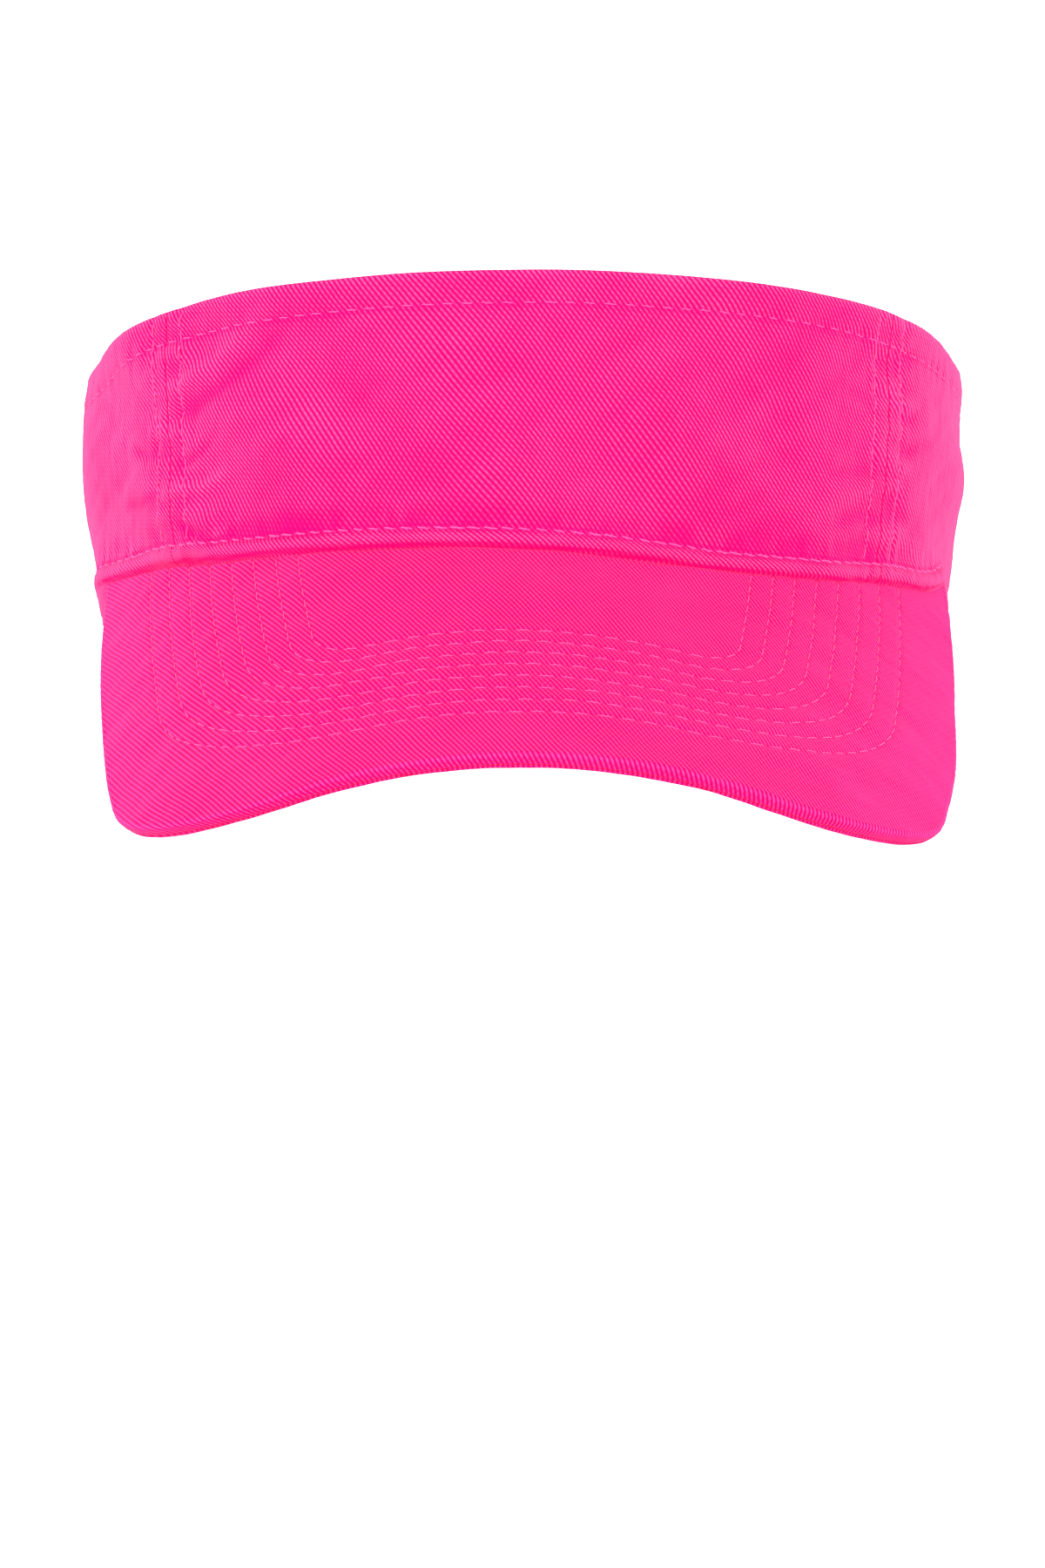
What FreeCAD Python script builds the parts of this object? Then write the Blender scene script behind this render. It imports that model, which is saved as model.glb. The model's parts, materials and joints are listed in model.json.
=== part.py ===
"""Fabric sun visor: a flared cloth band, a curved bill and an adjustable strap closure.

The part's frame: +Z up, the front of the visor faces -Y and the wearer's left is +X.  The origin is
where the axis of the head opening meets the table that the visor rests on.  The band is drawn in a
frame of its own, with Z along the axis of the head opening, which is then tilted back until the front
corners of the bill and the back of the band both touch the table.
"""

import FreeCAD, Part
import math
import os
import Sketcher

V = FreeCAD.Vector
Place = FreeCAD.Placement
Turn = FreeCAD.Rotation

# Driving dimensions in millimetres, degrees or plain ratios.
CELLS = [
    ("half_width", 89.0, "half the outside width of the band's lower edge"),
    ("front_depth", 97.0, "head axis to the front of the band's lower edge"),
    ("forehead_radius", 80.4, "curve of the band's front in plan"),
    ("flare", 0.045, "growth of the band's radius per millimetre of height"),
    ("front_height", 62.5, "height of the band at the front centre"),
    ("top_slope", 0.14, "fall of the top edge per millimetre towards the back"),
    ("tuck_height", 6.0, "height of the panel's lower edge behind the bill at the front"),
    ("tuck_start", 30.0, "how far ahead of the head axis the lower edge starts to rise"),
    ("seam_angle", 49.0, "side seam, in degrees round from the front centre"),
    ("seam_gap", 0.08, "gap between neighbouring panels, in degrees"),
    ("rest_tilt", 12.77, "backward tilt of the band on the table, in degrees"),
    ("panel_thickness", 1.0, "outer twill panel"),
    ("backing_thickness", 1.4, "fused backing and lining behind a panel"),
    ("sweatband_thickness", 1.5, "folded and padded sweatband"),
    ("sweatband_height", 29.0, "height of the sweatband"),
    ("layer_gap", 0.1, "air between neighbouring layers"),
    ("backing_end", 96.0, "back end of the side backings, in degrees round from the front"),
    ("left_end", 160.0, "back end of the left panel, in degrees round from the front"),
    ("right_end", 164.0, "back end of the right panel, in degrees round from the front"),
    ("right_sweatband_end", 152.0, "right end of the sweatband, in degrees round from the front"),
    ("seam_height", 9.3, "height of the bill seam at the front centre"),
    ("bill_drop", 34.0, "fall of the bill below the plane of the band, in degrees"),
    ("arch_radius", 110.0, "radius of the bill's arch from side to side"),
    ("bill_length", 74.0, "seam to front edge at the centre line"),
    ("bill_half_width", 84.8, "half the bill's width at its widest"),
    ("widest_behind", 40.0, "the widest place, behind the centre of the seam"),
    ("wing_reach", 54.0, "bill's back ends, behind the centre of the seam"),
    ("front_edge_radius", 1500.0, "radius of the bill's front edge in plan"),
    ("side_edge_radius", 485.0, "radius of the bill's side edges in plan"),
    ("corner_radius", 36.0, "radius of the bill's front corners in plan"),
    ("cover_thickness", 0.65, "fabric cover of the bill"),
    ("board_thickness", 1.6, "stiff board inside the bill"),
    ("bill_gap", 0.05, "air between the bill's layers"),
    ("welt_width", 1.5, "turned-in cover edge outside the board"),
    ("row_pitch", 4.12, "spacing of the bill's stitch rows"),
    ("outer_row_front", 15.0, "front edge to the outermost stitch row"),
    ("outer_row_side", 11.5, "side edge to the outermost stitch row"),
    ("inner_row_corner", 9.5, "corner radius of the innermost stitch row"),
    ("row_corner_step", 4.6, "growth of the corner radius from one stitch row to the next"),
    ("thread", 0.4, "thickness of the stitching thread"),
    ("thread_gap", 0.05, "thread to the fabric under it"),
    ("hem_depth", 6.3, "top edge to the hem stitching"),
    ("seam_stitch_offset", 2.7, "side seam to the stitching beside it, in degrees"),
    ("lower_stitch_rise", 3.3, "bill seam to the stitching above it, at the front"),
    ("side_stitch_height", 4.0, "lower edge to the stitching above it, behind the bill"),
    ("sweatband_stitch_drop", 3.0, "top of the sweatband to its stitching"),
    ("label_low", 6.0, "lower edge of the label, above the band's lower edge"),
    ("label_high", 22.0, "upper edge of the label, above the band's lower edge"),
    ("label_half_angle", 11.0, "half the label's length, in degrees round the band"),
    ("label_thickness", 0.35, "woven label"),
    ("strap_height", 18.0, "height of the strap's centre on the band"),
    ("strap_width", 18.0, "width of the strap"),
    ("strap_thickness", 1.1, "doubled fabric of the strap"),
    ("strap_clearance", 0.3, "panel to strap"),
    ("strap_span", 120.0, "length of the strap, in degrees round the band"),
    ("strap_shift", 2.0, "centre of the strap, in degrees to the wearer's right of the back"),
    ("strap_edge_stitch", 1.5, "strap edge to its stitching"),
    ("strap_thread", 0.16, "thickness of the strap's fine stitching"),
    ("buckle_angle", 9.0, "buckle, in degrees to the wearer's right of the back"),
    ("buckle_half_length", 6.5, "half the length of the buckle's floor"),
    ("buckle_wall", 1.2, "thickness of the buckle's side walls"),
    ("buckle_floor", 1.0, "thickness of the buckle's floor"),
    ("wall_clearance", 0.25, "strap to the buckle's side walls"),
    ("pin_x", 4.5, "lever pin, ahead of the buckle's centre"),
    ("pin_radius", 0.8, "lever pin"),
    ("pin_clearance", 0.05, "running clearance round the pin"),
    ("barrel_radius", 1.6, "lever barrel round the pin"),
    ("tooth_radius", 1.95, "lever cam teeth, from the pin's centre"),
    ("cam_reach", 2.0, "pin's centre to the strap"),
    ("lever_length", 13.0, "pin to the lever's tip"),
    ("lever_thickness", 0.9, "lever plate"),
    ("bar_x", 8.2, "tab bar, behind the buckle's centre"),
    ("bar_radius", 0.7, "tab bar of the buckle"),
    ("tab_ply", 0.6, "one layer of the buckle tab"),
    ("tab_width", 16.0, "width of the buckle tab"),
]
ROW_COUNT = 8
FAR = 160.0  # beyond every point of the visor
LOW = -16.0  # height of the lower loft section of every band layer
HIGH = 72.0  # height of the upper loft section
ABOVE = 90.0  # higher than every point of the band

doc = FreeCAD.newDocument("sun_visor")
sheet = doc.addObject("Spreadsheet::Sheet", "Sizes")
for number, (alias, amount, note) in enumerate(CELLS, start=1):
    sheet.set(f"A{number}", alias)
    sheet.set(f"B{number}", str(amount))
    sheet.set(f"C{number}", note)
    sheet.setAlias(f"B{number}", alias)
doc.recompute()


class Size:
    """A size that holds its number and the spreadsheet formula that it comes from."""

    def __init__(self, number, formula=None):
        self.number = float(number)
        self.formula = formula or repr(float(number))

    def join(self, sign, other, number):
        return Size(number, f"({self.formula} {sign} {other.formula})")

    def __add__(self, other):
        other = as_size(other)
        return self.join("+", other, self.number + other.number)

    def __sub__(self, other):
        other = as_size(other)
        return self.join("-", other, self.number - other.number)

    def __mul__(self, other):
        other = as_size(other)
        return self.join("*", other, self.number * other.number)

    def __truediv__(self, other):
        other = as_size(other)
        return self.join("/", other, self.number / other.number)

    def __neg__(self):
        return Size(0) - self


def as_size(given):
    return given if isinstance(given, Size) else Size(given)


def cell(alias):
    """The size in one named cell of the spreadsheet."""
    return Size(getattr(sheet, alias), f"Sizes.{alias}")


def bind(feature, field, size):
    """Gives a feature's property its number and ties it to the spreadsheet."""
    size = as_size(size)
    if "." not in field:
        setattr(feature, field, size.number)
    feature.setExpression(field, size.formula)


# --- frames of reference ---------------------------------------------------------------------------

TILT = cell("rest_tilt").number
LIFT = cell("half_width").number * math.sin(math.radians(TILT))
BAND = Place(V(0, LIFT * math.tan(math.radians(TILT)), LIFT), Turn(V(1, 0, 0), -TILT))

# The bill's own frame: origin at the centre of the seam, -Y down the bill, Z out of its upper face.
SEAM_CENTRE = V(
    0,
    -cell("front_depth").number - cell("seam_height").number * cell("flare").number,
    cell("seam_height").number,
)
BILL_IN_BAND = Place(SEAM_CENTRE, Turn(V(1, 0, 0), cell("bill_drop").number))
BAND_IN_BILL = BILL_IN_BAND.inverse()
BILL = BAND * BILL_IN_BAND

# The closure's frame: origin on the band's outer face, X round the band towards the wearer's left,
# Y outwards and Z up the flared wall.
STRAP_CENTRE_RADIUS = cell("half_width") + cell("strap_height") * cell("flare")


def closure_place(angle):
    """The closure's frame at an angle from the back centre towards the wearer's right."""
    lean = math.degrees(math.atan(cell("flare").number))
    at_wall = Place(
        V(0, STRAP_CENTRE_RADIUS.number, cell("strap_height").number), Turn(V(1, 0, 0), -lean)
    )
    return BAND * Place(V(), Turn(V(0, 0, 1), angle)) * at_wall


# --- bodies, sketches and features -----------------------------------------------------------------


def new_body(name, place):
    body = doc.addObject("PartDesign::Body", name)
    body.Label = name
    body.AllowCompound = True
    body.Placement = place
    return body


def new_sketch(body, name, plane="XY_Plane", offset=None):
    sketch = body.newObject("Sketcher::SketchObject", name)
    support = [item for item in body.Origin.OriginFeatures if item.Role == plane][0]
    sketch.AttachmentSupport = (support, [""])
    sketch.MapMode = "FlatFace"
    sketch.AttachmentOffset = offset or Place()
    return sketch


def dimension(sketch, kind, elements, size):
    """Adds a dimension that reads the spreadsheet."""
    size = as_size(size)
    index = sketch.addConstraint(Sketcher.Constraint(kind, *elements, size.number))
    sketch.setExpression(f"Constraints[{index}]", size.formula)


def place_point(sketch, geometry, end, x, y):
    """Fixes one point of the sketch by its distances from the origin."""
    x, y = as_size(x), as_size(y)
    if abs(x.number) < 1e-9:
        sketch.addConstraint(Sketcher.Constraint("PointOnObject", geometry, end, -2))
    else:
        dimension(sketch, "DistanceX", (-1, 1, geometry, end), x)
    if abs(y.number) < 1e-9:
        sketch.addConstraint(Sketcher.Constraint("PointOnObject", geometry, end, -1))
    else:
        dimension(sketch, "DistanceY", (-1, 1, geometry, end), y)


def draw_polygon(sketch, corners):
    """Draws a closed polygon whose corners are pairs of sizes."""
    corners = [(as_size(x), as_size(y)) for x, y in corners]
    points = [V(x.number, y.number) for x, y in corners]
    first = sketch.GeometryCount
    for start, end in zip(points, points[1:] + points[:1]):
        sketch.addGeometry(Part.LineSegment(start, end))
    for index in range(len(corners)):
        following = (index + 1) % len(corners)
        joint = ("Coincident", first + index, 2, first + following, 1)
        sketch.addConstraint(Sketcher.Constraint(*joint))
        place_point(sketch, first + index, 1, *corners[index])


def draw_circle(sketch, x, y, radius):
    x, y, radius = as_size(x), as_size(y), as_size(radius)
    circle = sketch.addGeometry(Part.Circle(V(x.number, y.number), V(0, 0, 1), radius.number))
    dimension(sketch, "Radius", (circle,), radius)
    place_point(sketch, circle, 3, x, y)


def arc(centre, radius, start, end):
    """An arc that runs anticlockwise between two directions in radians."""
    return Part.ArcOfCircle(Part.Circle(centre, V(0, 0, 1), radius), start, end)


def pad(body, sketch, length, symmetric=True, name="pad"):
    feature = body.newObject("PartDesign::Pad", f"{name}_{body.Name}")
    feature.Profile = sketch
    feature.SideType = "Symmetric" if symmetric else "One side"
    bind(feature, "Length", length)
    return feature


def pocket(body, sketch, name="pocket"):
    """Cuts a sketch right through the body, both ways."""
    feature = body.newObject("PartDesign::Pocket", f"{name}_{body.Name}")
    feature.Profile = sketch
    feature.SideType = "Symmetric"
    feature.Length = 4 * FAR
    return feature


def loft(body, kind, sketches, name):
    feature = body.newObject(f"PartDesign::{kind}", f"{name}_{body.Name}")
    feature.Profile = sketches[0]
    feature.Sections = sketches[1:]
    feature.Ruled = True
    return feature


# --- the oval band ---------------------------------------------------------------------------------


def draw_oval(sketch, growth):
    """The band's plan: half a circle behind, and a forehead arc joined by two side arcs in front.

    Every arc grows by the same amount, so all plans are parallel curves and share their centres.
    """
    half_width = cell("half_width").number
    depth = cell("front_depth").number
    front = cell("forehead_radius").number
    setback = depth - front
    side = (setback**2 + half_width**2 - front**2) / (2 * (half_width - front))
    turn = math.atan2(setback, side - half_width)
    grown = growth.number
    sketch.addGeometry(arc(V(0, 0), half_width + grown, 0, math.pi))
    sketch.addGeometry(arc(V(side - half_width, 0), side + grown, math.pi, math.pi + turn))
    sketch.addGeometry(arc(V(0, -setback), front + grown, math.pi + turn, 2 * math.pi - turn))
    sketch.addGeometry(arc(V(half_width - side, 0), side + grown, -turn, 0))
    back, left, forehead, right = 0, 1, 2, 3
    ends = [(back, left), (left, forehead), (forehead, right), (right, back)]
    for one, other in ends:
        sketch.addConstraint(Sketcher.Constraint("Tangent", one, 2, other, 1))
    sketch.addConstraint(Sketcher.Constraint("Coincident", back, 3, -1, 1))
    sketch.addConstraint(Sketcher.Constraint("PointOnObject", left, 3, -1))
    sketch.addConstraint(Sketcher.Constraint("PointOnObject", right, 3, -1))
    sketch.addConstraint(Sketcher.Constraint("PointOnObject", forehead, 3, -2))
    centre = cell("front_depth") - cell("forehead_radius")
    dimension(sketch, "DistanceY", (forehead, 3, -1, 1), centre)
    dimension(sketch, "Radius", (back,), cell("half_width") + growth)
    dimension(sketch, "Radius", (forehead,), cell("forehead_radius") + growth)


def oval_loft(body, kind, name, offset, low=LOW, high=HIGH, frame=None):
    """Adds or cuts the flared oval prism whose face is offset from the band's outer face."""
    sections = []
    for label, height in (("low", low), ("high", high)):
        place = (frame or Place()) * Place(V(0, 0, height), Turn())
        sketch = new_sketch(body, f"{name}_{label}_{body.Name}", offset=place)
        draw_oval(sketch, cell("flare") * height + offset)
        sections.append(sketch)
    return loft(body, kind, sections, name)


def ring(name, outer, inner):
    """A closed ring of the band between two offsets from its outer face."""
    body = new_body(name, BAND)
    oval_loft(body, "AdditiveLoft", "outside", as_size(outer))
    oval_loft(body, "SubtractiveLoft", "inside", as_size(inner))
    return body


def top_height(along, below=0.0):
    """Height of the top edge at a distance along Y, less a distance below it."""
    fall = cell("top_slope") * (cell("front_depth") + along)
    return cell("front_height") - fall - below


def trim(body, upper, lower):
    """Cuts the band, seen from the side, above one line and below another.

    Each line is a list of (y, z) sizes that runs from the front to the back.
    """
    above = new_sketch(body, f"above_{body.Name}", "YZ_Plane")
    draw_polygon(above, upper + [(FAR, ABOVE), (-FAR, ABOVE)])
    pocket(body, above, "cut_above")
    below = new_sketch(body, f"below_{body.Name}", "YZ_Plane")
    draw_polygon(below, lower + [(FAR, -ABOVE), (-FAR, -ABOVE)])
    pocket(body, below, "cut_below")


def top_line(below=0.0):
    return [(-FAR, top_height(-FAR, below)), (FAR, top_height(FAR, below))]


def bottom_line(rise=0.0):
    """The band's lower edge, which rises at the front behind the bill."""
    start = -cell("tuck_start")
    slope = cell("tuck_height") / (cell("front_depth") - cell("tuck_start"))
    front = slope * (Size(FAR) - cell("tuck_start")) + rise
    return [(-FAR, front), (start, as_size(rise)), (FAR, as_size(rise))]


def cut_sector(body, name, start, end):
    """Cuts the band away between two directions, in degrees round from the front.

    Directions are positive towards the wearer's left (+X).
    """
    turn = Place(V(), Turn(V(0, 1, 0), start.number - 90))
    sketch = new_sketch(body, f"{name}_{body.Name}", "XZ_Plane", turn)
    draw_polygon(sketch, [(0, -ABOVE), (FAR, -ABOVE), (FAR, ABOVE), (0, ABOVE)])
    sketch.setExpression(".AttachmentOffset.Rotation.Angle", f"({start.formula}) - 90")
    groove = body.newObject("PartDesign::Groove", f"cut_{name}_{body.Name}")
    groove.Profile = sketch
    groove.ReferenceAxis = (sketch, ["V_Axis"])
    bind(groove, "Angle", end - start)
    return groove


def keep_sector(body, start, end):
    """Keeps only the part of a ring between two directions."""
    cut_sector(body, "outside_sector", end, start + 360)


def layer_depth(layers):
    """Depth, below the band's outer face, of the outside of a layer: 0 panel, 1 backing, 2 sweatband."""
    depth = Size(0)
    for thickness in ("panel_thickness", "backing_thickness", "sweatband_thickness")[:layers]:
        depth = depth + cell(thickness) + cell("layer_gap")
    return depth


def make_panels():
    """The three outer panels, and the backing behind each of them."""
    seam = cell("seam_angle")
    gap = cell("seam_gap") / 2
    spans = {
        "front_panel": (gap - seam, seam - gap),
        "left_side_panel": (seam + gap, cell("left_end")),
        "right_side_panel": (-cell("right_end"), -seam - gap),
    }
    for name, (start, end) in spans.items():
        body = ring(name, 0, -cell("panel_thickness"))
        trim(body, top_line(), bottom_line())
        keep_sector(body, start, end)
    spans = {
        "front_panel_backing": (gap - seam, seam - gap),
        "left_side_backing": (seam + gap, cell("backing_end")),
        "right_side_backing": (-cell("backing_end"), -seam - gap),
    }
    outer = layer_depth(1)
    for name, (start, end) in spans.items():
        body = ring(name, -outer, -outer - cell("backing_thickness"))
        trim(body, top_line(1.0), bottom_line(1.0))
        keep_sector(body, start, end)


def make_sweatband():
    outer = layer_depth(2)
    inner = outer + cell("sweatband_thickness")
    height = cell("sweatband_height")
    start, end = -cell("right_sweatband_end"), cell("left_end")

    body = ring("sweatband", -outer, -inner)
    trim(body, bottom_line(height), bottom_line(0.8))
    keep_sector(body, start, end)

    stitching = ring("sweatband_stitching", -inner - cell("thread_gap"), -inner - cell("thread"))
    line = height - cell("sweatband_stitch_drop")
    trim(stitching, bottom_line(line), bottom_line(line - cell("thread")))
    keep_sector(stitching, start + 1, end - 1)

    face = inner + cell("layer_gap")
    label = ring("blank_label", -face, -face - cell("label_thickness"))
    trim(label, bottom_line(cell("label_high")), bottom_line(cell("label_low")))
    keep_sector(label, -cell("label_half_angle"), cell("label_half_angle"))


def make_band_stitching():
    """The stitch lines on the outside of the band, as thin rings of thread."""
    outer = cell("thread_gap") + cell("thread")
    thread = cell("thread")
    start, end = -cell("right_end") + 0.5, cell("left_end") - 0.5

    hem = ring("top_edge_stitching", outer, cell("thread_gap"))
    depth = cell("hem_depth")
    trim(hem, top_line(depth), top_line(depth + thread))
    keep_sector(hem, start, end)

    lower = ring("lower_edge_stitching", outer, cell("thread_gap"))
    stitch_height = cell("seam_height") + cell("lower_stitch_rise")
    side_height = cell("side_stitch_height")
    line = [
        (-FAR, stitch_height),
        (-cell("front_depth") * 0.6, stitch_height - 0.6),
        (-cell("tuck_start"), stitch_height - 2.0),
        (-cell("tuck_start") * 0.1, side_height),
        (FAR, side_height),
    ]
    trim(lower, line, [(y, z - thread) for y, z in line])
    keep_sector(lower, start, end)

    width = 0.25
    seam = cell("seam_angle")
    offset = cell("seam_stitch_offset")
    for side, sign in (("left", 1), ("right", -1)):
        body = ring(f"{side}_side_seam_stitching", outer, cell("thread_gap"))
        trim(body, top_line(depth + 0.6), [(y, z + 0.3) for y, z in line])
        first = seam * sign - offset
        second = seam * sign + offset
        cut_sector(body, "between", first + width, second)
        keep_sector(body, first, second + width)


# --- the bill --------------------------------------------------------------------------------------


def corner_centre(front_radius, side_radius, corner):
    """Centre of the corner arc that touches both the front arc and the side arc inside."""
    front = V(0, cell("front_edge_radius").number - cell("bill_length").number)
    side_x = cell("bill_half_width").number - cell("side_edge_radius").number
    side = V(side_x, cell("widest_behind").number)
    apart = side - front
    reach = front_radius - corner
    along = (reach**2 - (side_radius - corner) ** 2 + apart.Length**2) / (2 * apart.Length)
    across = math.sqrt(reach**2 - along**2)
    unit = apart / apart.Length
    return front + unit * along + V(-unit.y, unit.x) * across


def heading(centre, point):
    return math.atan2(point.y - centre.y, point.x - centre.x)


def draw_outline(sketch, front_inset, side_inset, corner):
    """The bill's plan, or a curve inside it: a front arc, two corners, two side arcs, a back line."""
    front_radius = cell("front_edge_radius") - front_inset
    side_radius = cell("side_edge_radius") - side_inset
    front_y = cell("front_edge_radius") - cell("bill_length")
    side_x = cell("bill_half_width") - cell("side_edge_radius")
    wing = cell("wing_reach")

    front = V(0, front_y.number)
    right = V(side_x.number, cell("widest_behind").number)
    left = V(-right.x, right.y)
    turn = corner_centre(front_radius.number, side_radius.number, corner.number)
    mirrored = V(-turn.x, turn.y)
    end_angle = math.asin((wing.number - right.y) / side_radius.number)
    full = 2 * math.pi
    front_end = heading(front, turn)
    side_start = heading(right, turn)
    arcs = [
        arc(front, front_radius.number, math.pi - front_end, full + front_end),
        arc(turn, corner.number, front_end, side_start),
        arc(right, side_radius.number, side_start, end_angle),
        arc(left, side_radius.number, math.pi - end_angle, math.pi - side_start),
        arc(mirrored, corner.number, math.pi - side_start, math.pi - front_end),
    ]
    for piece in arcs:
        sketch.addGeometry(piece)
    tip = right.x + side_radius.number * math.cos(end_angle)
    back = sketch.addGeometry(Part.LineSegment(V(tip, wing.number), V(-tip, wing.number)))
    for one, other in ((0, 1), (1, 2), (3, 4), (4, 0)):
        sketch.addConstraint(Sketcher.Constraint("Tangent", one, 2, other, 1))
    sketch.addConstraint(Sketcher.Constraint("Coincident", 2, 2, back, 1))
    sketch.addConstraint(Sketcher.Constraint("Coincident", back, 2, 3, 1))
    sketch.addConstraint(Sketcher.Constraint("Horizontal", back))
    dimension(sketch, "DistanceY", (-1, 1, back, 1), wing)
    place_point(sketch, 0, 3, 0, front_y)
    place_point(sketch, 2, 3, side_x, cell("widest_behind"))
    place_point(sketch, 3, 3, -side_x, cell("widest_behind"))
    dimension(sketch, "Radius", (0,), front_radius)
    dimension(sketch, "Radius", (2,), side_radius)
    dimension(sketch, "Radius", (3,), side_radius)
    dimension(sketch, "Radius", (1,), corner)
    dimension(sketch, "Radius", (4,), corner)


def draw_arch_cut(sketch, outer, inner):
    """A box round the bill with an arch left out of it, seen from the front."""
    draw_polygon(sketch, [(-FAR, -FAR), (FAR, -FAR), (FAR, FAR), (-FAR, FAR)])
    centre = -cell("arch_radius")
    half = math.radians(58)
    first = sketch.GeometryCount
    upper, lower = cell("arch_radius") + outer, cell("arch_radius") + inner
    for radius in (upper.number, lower.number):
        middle = V(0, centre.number)
        sketch.addGeometry(arc(middle, radius, math.pi / 2 - half, math.pi / 2 + half))
    ends = []
    for side in (-1, 1):
        points = []
        for radius in (upper.number, lower.number):
            direction = V(side * math.sin(half), math.cos(half))
            points.append(V(0, centre.number) + direction * radius)
        ends.append(sketch.addGeometry(Part.LineSegment(*points)))
    left, right = ends
    for geometry, end, line, tip in (
        (first, 2, left, 1),
        (first + 1, 2, left, 2),
        (first, 1, right, 1),
        (first + 1, 1, right, 2),
    ):
        sketch.addConstraint(Sketcher.Constraint("Coincident", geometry, end, line, tip))
    for geometry, radius in ((first, upper), (first + 1, lower)):
        place_point(sketch, geometry, 3, 0, centre)
        dimension(sketch, "Radius", (geometry,), radius)
    for line in ends:
        sketch.addConstraint(Sketcher.Constraint("PointOnObject", first, 3, line))
    reach = math.sin(half) * upper.number
    dimension(sketch, "DistanceX", (-1, 1, right, 1), reach)
    dimension(sketch, "DistanceX", (-1, 1, left, 1), -reach)


def bill_layer(name, outer, inner, front_inset, side_inset, corner):
    """A layer of the bill between two heights on its arch, trimmed to the band's outer face."""
    body = new_body(name, BILL)
    outline = new_sketch(body, f"outline_{name}")
    draw_outline(outline, as_size(front_inset), as_size(side_inset), as_size(corner))
    pad(body, outline, 2 * ABOVE)
    arch = new_sketch(body, f"arch_{name}", "XZ_Plane")
    draw_arch_cut(arch, as_size(outer), as_size(inner))
    pocket(body, arch, "cut_arch")
    gap = cell("layer_gap")
    oval_loft(body, "SubtractiveLoft", "head_hole", gap, -ABOVE, ABOVE, BAND_IN_BILL)
    return body


def cut_inside(body, front_inset, side_inset, corner):
    """Cuts away everything inside a curve parallel to the bill's plan."""
    inside = new_sketch(body, f"inside_{body.Name}")
    draw_outline(inside, as_size(front_inset), as_size(side_inset), as_size(corner))
    pocket(body, inside, "cut_inside")


def make_bill():
    gap = cell("bill_gap")
    cover_bottom = -cell("cover_thickness")
    board_top = cover_bottom - gap
    board_bottom = board_top - cell("board_thickness")
    lining_top = board_bottom - gap
    lining_bottom = lining_top - cell("cover_thickness")
    corner = cell("corner_radius")
    welt = cell("welt_width")
    inset = welt + 0.1

    bill_layer("bill_top_cover", 0, cover_bottom, 0, 0, corner)
    bill_layer("bill_board", board_top, board_bottom, inset, inset, corner - inset)
    bill_layer("bill_bottom_cover", lining_top, lining_bottom, 0, 0, corner)
    edge = bill_layer("bill_edge_welt", board_top, board_bottom, 0, 0, corner)
    cut_inside(edge, welt, welt, corner - welt)


def make_bill_stitching():
    """Eight rows of thread on the bill, each parallel to its edge; row 1 is the innermost."""
    low = cell("thread_gap")
    high = low + cell("thread")
    width = cell("thread")
    for row in range(1, ROW_COUNT + 1):
        rows_out = ROW_COUNT - row
        front = cell("outer_row_front") + cell("row_pitch") * rows_out
        side = cell("outer_row_side") + cell("row_pitch") * rows_out
        corner = cell("inner_row_corner") + cell("row_corner_step") * (row - 1)
        body = bill_layer(f"bill_stitch_row_{row}", high, low, front, side, corner)
        cut_inside(body, front + width, side + width, corner - width)


# --- the closure -----------------------------------------------------------------------------------

STRAP_TOP = -cell("panel_thickness") - cell("strap_clearance")
STRAP_BOTTOM = STRAP_TOP - cell("strap_thickness")
PIN_Y = STRAP_TOP + cell("cam_reach")
WALL_START = cell("strap_width") / 2 + cell("wall_clearance")
WALL_END = WALL_START + cell("buckle_wall")


def wall_profile(low, high, bottom, top):
    """A strip of the flared wall, between two heights about the strap's centre and two depths."""
    corners = []
    for height, depth in ((low, bottom), (low, top), (high, top), (high, bottom)):
        level = cell("strap_height") + height
        corners.append((cell("half_width") + level * cell("flare") + depth, level))
    return corners


def revolve_about_band(body, sketch, span):
    feature = body.newObject("PartDesign::Revolution", f"revolve_{body.Name}")
    feature.Profile = sketch
    feature.ReferenceAxis = (sketch, ["V_Axis"])
    feature.Midplane = True
    bind(feature, "Angle", span)
    return feature


def make_strap():
    """The strap is a strip of the band's flared wall, so it can slide round the band's axis."""
    turn = Place(V(), Turn(V(0, 0, 1), cell("strap_shift").number))
    half = cell("strap_width") / 2

    strap = new_body("strap", BAND * turn)
    section = new_sketch(strap, "section_strap", "YZ_Plane")
    draw_polygon(section, wall_profile(-half, half, STRAP_BOTTOM, STRAP_TOP))
    revolve_about_band(strap, section, cell("strap_span"))

    stitching = new_body("strap_stitching", BAND * turn)
    section = new_sketch(stitching, "section_strap_stitching", "YZ_Plane")
    line = half - cell("strap_edge_stitch")
    low = STRAP_TOP + 0.04
    high = low + cell("strap_thread")
    draw_polygon(section, wall_profile(line - cell("thread"), line, low, high))
    draw_polygon(section, wall_profile(-line, -line + cell("thread"), low, high))
    revolve_about_band(stitching, section, cell("strap_span") - 2)


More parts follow.
